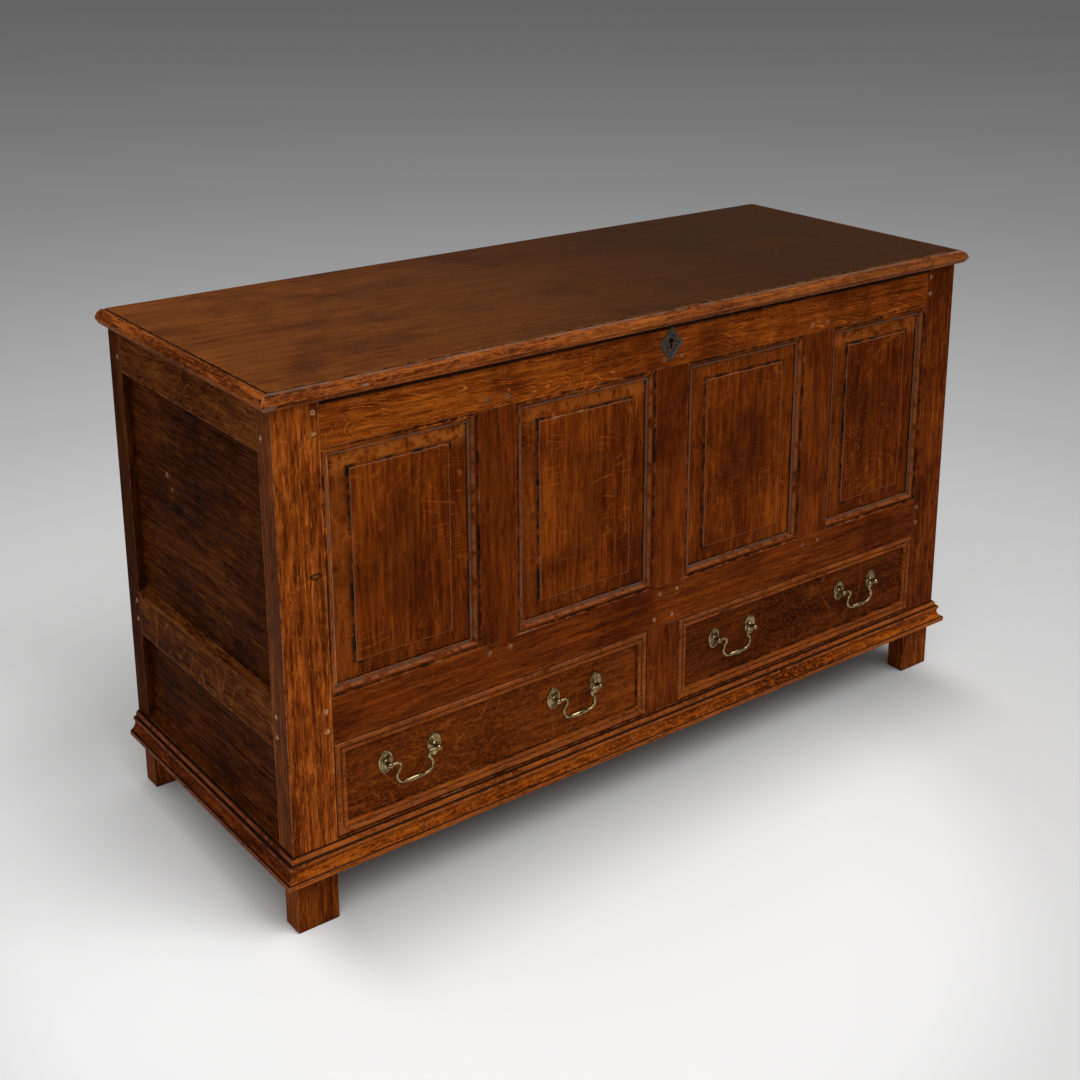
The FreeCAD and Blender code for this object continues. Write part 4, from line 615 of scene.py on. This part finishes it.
def islands(name):
    """Boxes of the separate solids in one CAD node."""
    mesh = bmesh.new()
    mesh.from_mesh(nodes[name].data)
    bmesh.ops.remove_doubles(mesh, verts=mesh.verts, dist=0.005 * MM)
    seen = set()
    boxes = []
    for start in mesh.verts:
        if start in seen:
            continue
        stack = [start]
        seen.add(start)
        points = []
        while stack:
            vert = stack.pop()
            points.append(vert.co.copy())
            for edge in vert.link_edges:
                other = edge.other_vert(vert)
                if other not in seen:
                    seen.add(other)
                    stack.append(other)
        boxes.append([Vector(pick(point[axis] for point in points) for axis in range(3))
                      for pick in (min, max)])
    mesh.free()
    return boxes


# ---------------------------------------------------------------- pegs
DOME = 0.3 * MM


def peg_oak():
    """End grain, paler than the frame, and palest in the left stile."""
    darker = (0.090, 0.030, 0.009)
    finish = Finish("peg_end_grain")
    cloud = finish.noise((320, 320, 320), 3.0, 0.6, 0.3, 8)
    broad = finish.noise((9, 9, 9), 2.0, 0.5, 0.0, 4)
    colour = finish.ramp(cloud, [(0.36, (0.120, 0.040, 0.012)), (0.50, (0.330, 0.135, 0.050)),
                                 (0.64, (0.560, 0.310, 0.170))])
    colour = finish.mix(broad.rise(0.56, 0.36) * 0.5, colour, darker)
    colour = finish.mix(finish.along("X").rise(-0.63, -0.55) * 0.45, colour, darker)
    bump = finish.bump(0.5, 0.4 * MM, cloud)
    return finish.close({"Base Color": colour, "Roughness": 0.5 - cloud * 0.15, "Normal": bump,
                         "Specular IOR Level": 0.05})


def make_pegs():
    """A crowned, slightly proud head on every peg, cut to an uneven round; its shank goes
    back through nine tenths of the peg."""
    chance = random.Random(4)
    mesh = bmesh.new()
    for low, high in islands("frame_pegs"):
        centre = (low + high) / 2
        spread = high - low
        if spread.x > spread.z * 1.5:
            outward = Vector((1 if centre.x > 0 else -1, 0, 0))
        else:
            outward = Vector((0, 1 if centre.y > 0 else -1, 0))
        reach = max(spread.x, spread.y) / 2
        radius = spread.z / 2 * 0.92
        face = centre + outward * reach
        turn = outward.to_track_quat("Z", "Y").to_matrix().to_4x4()
        made = bmesh.ops.create_circle(mesh, cap_ends=True, segments=14, radius=radius)
        ring = made["verts"]
        for vert in ring:
            vert.co *= 1 - chance.random() * 0.07
        cap = ring[0].link_faces[0]
        lifted = bmesh.ops.extrude_face_region(mesh, geom=[cap])
        top = only(bmesh.types.BMFace, lifted["geom"])
        proud = 0.25 * MM + chance.random() * 0.5 * MM
        back = reach * 2 * 0.9
        rim = corners(top)
        bmesh.ops.translate(mesh, vec=(0, 0, back + proud - DOME), verts=rim)
        crown = bmesh.ops.inset_region(mesh, faces=top, thickness=radius * 0.28, depth=DOME)
        everything = {*ring, *rim, *corners(top), *corners(crown["faces"])}
        place = Matrix.Translation(face - outward * back) @ turn
        bmesh.ops.transform(mesh, matrix=place, verts=list(everything))
    pegs = finished("oak_pegs", mesh, peg_oak(), "carcass")
    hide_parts("frame_pegs")


make_pegs()


# ---------------------------------------------------------------- drop handles
POST_HALF = 43 * MM
PIVOT_OUT = 13.5 * MM
WIRE = 2.4 * MM
BORE = 2.55 * MM
BALL = 5.2 * MM
ROSE = (12.5 * MM, 19 * MM, 1)


def spun(mesh, profile, axis, steps):
    """Turn an open run of points fully round an axis through the origin."""
    verts = [mesh.verts.new(point) for point in profile]
    edges = [mesh.edges.new(pair) for pair in zip(verts, verts[1:])]
    bmesh.ops.spin(mesh, geom=verts + edges, cent=(0, 0, 0), axis=axis, angle=math.tau, steps=steps,
                   use_merge=True)


def rose():
    """A dished oval rose, its back on the drawer's front."""
    mesh = bmesh.new()
    ring = bmesh.ops.create_circle(mesh, cap_ends=True, segments=40, radius=1.0)["verts"]
    bmesh.ops.scale(mesh, vec=ROSE, verts=ring)
    lifted = bmesh.ops.extrude_face_region(mesh, geom=mesh.faces[:])
    top = only(bmesh.types.BMFace, lifted["geom"])
    bmesh.ops.translate(mesh, vec=(0, 0, 1.1 * MM), verts=corners(top))
    for thickness, depth in ((1.0 * MM, 0.8 * MM), (1.6 * MM, 0.1 * MM), (0.8 * MM, -0.9 * MM),
                             (2.6 * MM, -0.1 * MM), (0.8 * MM, 0.7 * MM)):
        bmesh.ops.inset_region(mesh, faces=top, thickness=thickness, depth=depth)
    quarter_turn(mesh, "X", mesh.verts)
    return mesh


def neck_and_ball():
    """The turned part of a post. Its points are the radius and the distance before the
    drawer's front, mm."""
    mesh = bmesh.new()
    points = [(0, 1.0), (4.4, 1.0), (4.6, 2.2), (3.4, 3.2),
              (2.8, 4.6), (2.9, 6.6), (3.8, 7.4), (3.9, 8.0)]
    profile = [Vector((radius * MM, -out * MM, 0)) for radius, out in points]
    for step in range(1, 10):
        angle = math.radians(-56 + step * 14.6)
        profile.append(Vector((BALL * math.cos(angle), -PIVOT_OUT - BALL * math.sin(angle), 0)))
    profile.append(Vector((0, -PIVOT_OUT - BALL, 0)))
    spun(mesh, profile, (0, 1, 0), 28)
    return mesh


def wire_end(mesh, radius):
    """The closed end of the bail's wire, which runs sideways."""
    ring = bmesh.ops.create_circle(mesh, cap_ends=True, segments=14, radius=radius)["verts"]
    quarter_turn(mesh, "Y", ring)
    return ring


def sweep(mesh, ring, centre, degrees, steps):
    """Carry the open end of the wire round an arc whose centre is in mm; positive turns
    left seen from the front."""
    edges = [edge for edge in mesh.edges if set(edge.verts) <= set(ring)]
    made = bmesh.ops.spin(mesh, geom=list(ring) + edges, cent=(centre[0] * MM, 0, centre[1] * MM),
                          axis=(0, -1, 0), angle=math.radians(degrees), steps=steps)
    return only(bmesh.types.BMVert, made["geom_last"])


def carry(mesh, ring, across, level, radius, old_radius):
    """Carry the open end of the wire straight on, to a new place and thickness, mm."""
    edges = [edge for edge in mesh.edges if set(edge.verts) <= set(ring)]
    made = bmesh.ops.extrude_edge_only(mesh, edges=edges)
    verts = only(bmesh.types.BMVert, made["geom"])
    middle = sum((vert.co for vert in verts), Vector()) / len(verts)
    target = Vector((across * MM, 0, level * MM))
    for vert in verts:
        vert.co = target + (vert.co - middle) * (radius / old_radius)
    return verts


def bail_mesh():
    """Swan-neck bail, drawn from its left end to the middle of its grip, then mirrored.
    The neck's second bend ends at a slant of 45 degrees, and its third brings it level
    with the grip. Lengths are in mm."""
    thin, neck, drop, slant = 2.4, 2.8, 35, math.sqrt(0.5)
    mesh = bmesh.new()
    ring = wire_end(mesh, WIRE)
    bmesh.ops.translate(mesh, vec=(-43.7 * MM, 0, 0), verts=ring)
    ring = carry(mesh, ring, -36, 0, thin, thin)
    ring = carry(mesh, ring, -30, 0, neck, thin)
    ring = sweep(mesh, ring, (-30, -5), -90, 6)
    ring = sweep(mesh, ring, (-35, -5), -45, 5)
    radius = (drop - 5 - 10 * slant) / (1 + slant)
    grip = 25 + 10 * (1 - slant) - radius * slant
    ring = sweep(mesh, ring, (-grip, radius - drop), 135, 12)
    before = neck
    for across, thick in ((-17.4, 2.8), (-16.9, 3.6), (-16.0, 3.9), (-15.3, 3.5), (-15.0, 3.0),
                          (-12.0, 3.4), (-8.0, 4.1), (-4.0, 4.4), (0, 4.5)):
        ring = carry(mesh, ring, across, -drop, thick, before)
        before = thick
    geometry = mesh.verts[:] + mesh.edges[:] + mesh.faces[:]
    bmesh.ops.mirror(mesh, geom=geometry, axis="X", merge_dist=0.02 * MM)
    return mesh


def bored(mesh, side):
    """A post with its bore cut into the inner side of the ball. The post is one closed
    surface: a second one that crosses it would leave the cut to chance."""
    cutter = bmesh.new()
    bmesh.ops.create_cone(
        cutter, cap_ends=True, segments=20, radius1=BORE, radius2=BORE, depth=9 * MM)
    quarter_turn(cutter, "Y", cutter.verts)
    bmesh.ops.translate(cutter, vec=(-side * 3.5 * MM, -PIVOT_OUT, 0), verts=cutter.verts)
    holder = added("post", welded("post", mesh))
    drill = added("bore", to_data("bore", cutter))
    cut = holder.modifiers.new("bore", "BOOLEAN")
    cut.operation = "DIFFERENCE"
    cut.object = drill
    bpy.context.view_layer.update()
    graph = bpy.context.evaluated_depsgraph_get()
    result = bpy.data.meshes.new_from_object(holder.evaluated_get(graph))
    for item in (holder, drill):
        bpy.data.objects.remove(item)
    return result


def casting(side):
    """One handle post: its rose, and its bored neck and ball."""
    mesh = rose()
    mesh.from_mesh(bored(neck_and_ball(), side))
    return to_data("casting", mesh)


def handles():
    """Each drawer's four posts in one piece, and its two bails."""
    shapes = {side: casting(side) for side in (-1, 1)}
    for hand in ("left", "right"):
        posts = bmesh.new()
        for spot in ("near", "far"):
            node = "drawer_%s_bail_%s" % (hand, spot)
            low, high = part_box(node)
            middle = (low[0] + high[0]) / 2
            pivot = high[2] - WIRE * math.cos(math.pi / 8)  # the CAD's wire has eight flats
            depth = (low[1] + high[1]) / 2
            for side in (-1, 1):
                count = len(posts.verts)
                posts.from_mesh(shapes[side])
                posts.verts.ensure_lookup_table()
                place = (middle + POST_HALF * side, depth + PIVOT_OUT, pivot)
                bmesh.ops.translate(posts, vec=place, verts=posts.verts[count:])
            mesh = bail_mesh()
            bmesh.ops.translate(mesh, vec=(middle, depth, pivot), verts=mesh.verts)
            bail = finished("bail_%s_%s" % (hand, spot), mesh, aged_brass,
                            "%s_drawer_%s_handle" % (hand, spot))
            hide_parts(node)
        piece = finished("handle_posts_%s" % hand, posts, aged_brass, hand + "_drawer")
        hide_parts("drawer_%s_handle_posts" % hand)


handles()


# ---------------------------------------------------------------- nails
def nails():
    """Rose-headed nails in the base moulding and under the escutcheon, each given by its
    distance from the left end, its height and how far it stands before the front, mm."""
    mesh = bmesh.new()
    spots = [(across, 112, 15.2) for across in (214, 625, 942, 1378)]
    spots.append((711, 768, 0))
    for across, level, out in spots:
        made = bmesh.ops.create_uvsphere(mesh, u_segments=10, v_segments=6, radius=2.6 * MM)
        bmesh.ops.scale(mesh, vec=(1, 0.35, 1), verts=made["verts"])
        place = (LEFT + across * MM, FRONT - out * MM, level * MM)
        bmesh.ops.translate(mesh, vec=place, verts=made["verts"])
    finished("nail_heads", mesh, dark_iron, "carcass")


nails()


# ---------------------------------------------------------------- floor, light, camera
def floor():
    """A pale floor with painted light and shade: a painted pool of light, brightest before the
    chest and fading to grey far off, a painted shadow close round its foot, and a painted
    bright patch behind its left end."""
    finish = Finish("floor_painted_light_and_shade")
    away = finish.distance((-0.35, -0.30, 0))
    reach = 20.0
    # Painted pool of light: the floor's colour falls off with distance.
    painted_light_falloff = ((0.55, 0.97), (0.70, 0.93), (0.88, 0.76), (1.68, 0.59), (2.4, 0.46), (3.2, 0.38),
               (4.2, 0.305), (5.6, 0.24), (8.2, 0.185), (12.0, 0.150), (18.0, 0.128))
    tone = finish.ramp(away / reach, [(metres / reach, (share,) * 3) for metres, share in painted_light_falloff])
    # Painted shadow round the chest's foot.
    beside = (finish.along("X").size() - 0.62).most(0)
    before = (finish.along("Y").size() - 0.27).most(0)
    squared = beside * beside * 5 + before * before
    tone = finish.mix(squared.root().rise(0.28, -0.10) * 0.62, tone, (0.10, 0.10, 0.10))
    # Painted light: a bright patch behind the left end.
    painted_light_spot = finish.distance((-1.05, 0.45, 0))
    tone = finish.mix(painted_light_spot.rise(0.62, 0.12) * 0.8, tone, (0.97, 0.97, 0.97))
    material = finish.close({"Base Color": tone, "Roughness": 0.9, "Specular IOR Level": 0.0})
    mesh = bmesh.new()
    bmesh.ops.create_circle(mesh, cap_ends=True, segments=64, radius=30)
    item = added("floor", to_data("floor", mesh))
    item.data.materials.append(material)


def surroundings():
    """Soft light from all round, which is a darker grey where it is itself in view."""
    world = bpy.data.worlds.new("studio")
    bpy.context.scene.world = world
    finish = Finish("studio", world)
    path = finish.add("ShaderNodeLightPath")
    seen = path
    for output in ("Is Glossy Ray", "Is Transmission Ray"):
        seen = seen + Link(finish, path.socket.node.outputs[output])
    tone = finish.mix(seen.least(1), (0.45, 0.45, 0.45), (0.145, 0.145, 0.145))
    shader = finish.add("ShaderNodeBackground", {"Color": tone, "Strength": 1.0})
    finish.add_output(shader, "ShaderNodeOutputWorld")


def sun(name, place, energy, degrees):
    """A sun that shines from a place towards the middle of the chest."""
    data = bpy.data.lights.new(name, "SUN")
    data.energy = energy
    data.angle = math.radians(degrees)
    item = added(name, data)
    item.location = place
    item.rotation_euler = (Vector((0, 0, 0.4)) - Vector(place)).to_track_quat("-Z", "Y").to_euler()


floor()
surroundings()
sun("key", (1.3, -2.6, 4.4), 1.6, 40)
sun("fill", (-1.9, -2.4, 3.6), 0.6, 50)


def camera():
    """A square frame; its focal length and centre are given for 1080 points across."""
    azimuth, elevation, roll = (math.radians(angle) for angle in (-38.577, 16.024, 0.317))
    back = Vector((math.sin(azimuth) * math.cos(elevation),
                   -math.cos(azimuth) * math.cos(elevation), math.sin(elevation)))
    right = (-back).cross(Vector((0, 0, 1))).normalized()
    up = right.cross(-back)
    across = right * math.cos(roll) + up * math.sin(roll)
    upright = up * math.cos(roll) - right * math.sin(roll)
    data = bpy.data.cameras.new("camera")
    frame_points = 1080
    data.sensor_width = 36
    data.lens = 1598.9 / frame_points * data.sensor_width
    data.shift_x = (540 - 595) / frame_points
    data.shift_y = (340 - 540) / frame_points
    item = added("camera", data)
    turn = Matrix((across, upright, back)).transposed().to_4x4()
    item.matrix_world = Matrix.Translation((-1.62747, -2.12255, 1.49938)) @ turn
    bpy.context.scene.camera = item


camera()
bpy.context.scene.view_settings.view_transform = "Standard"
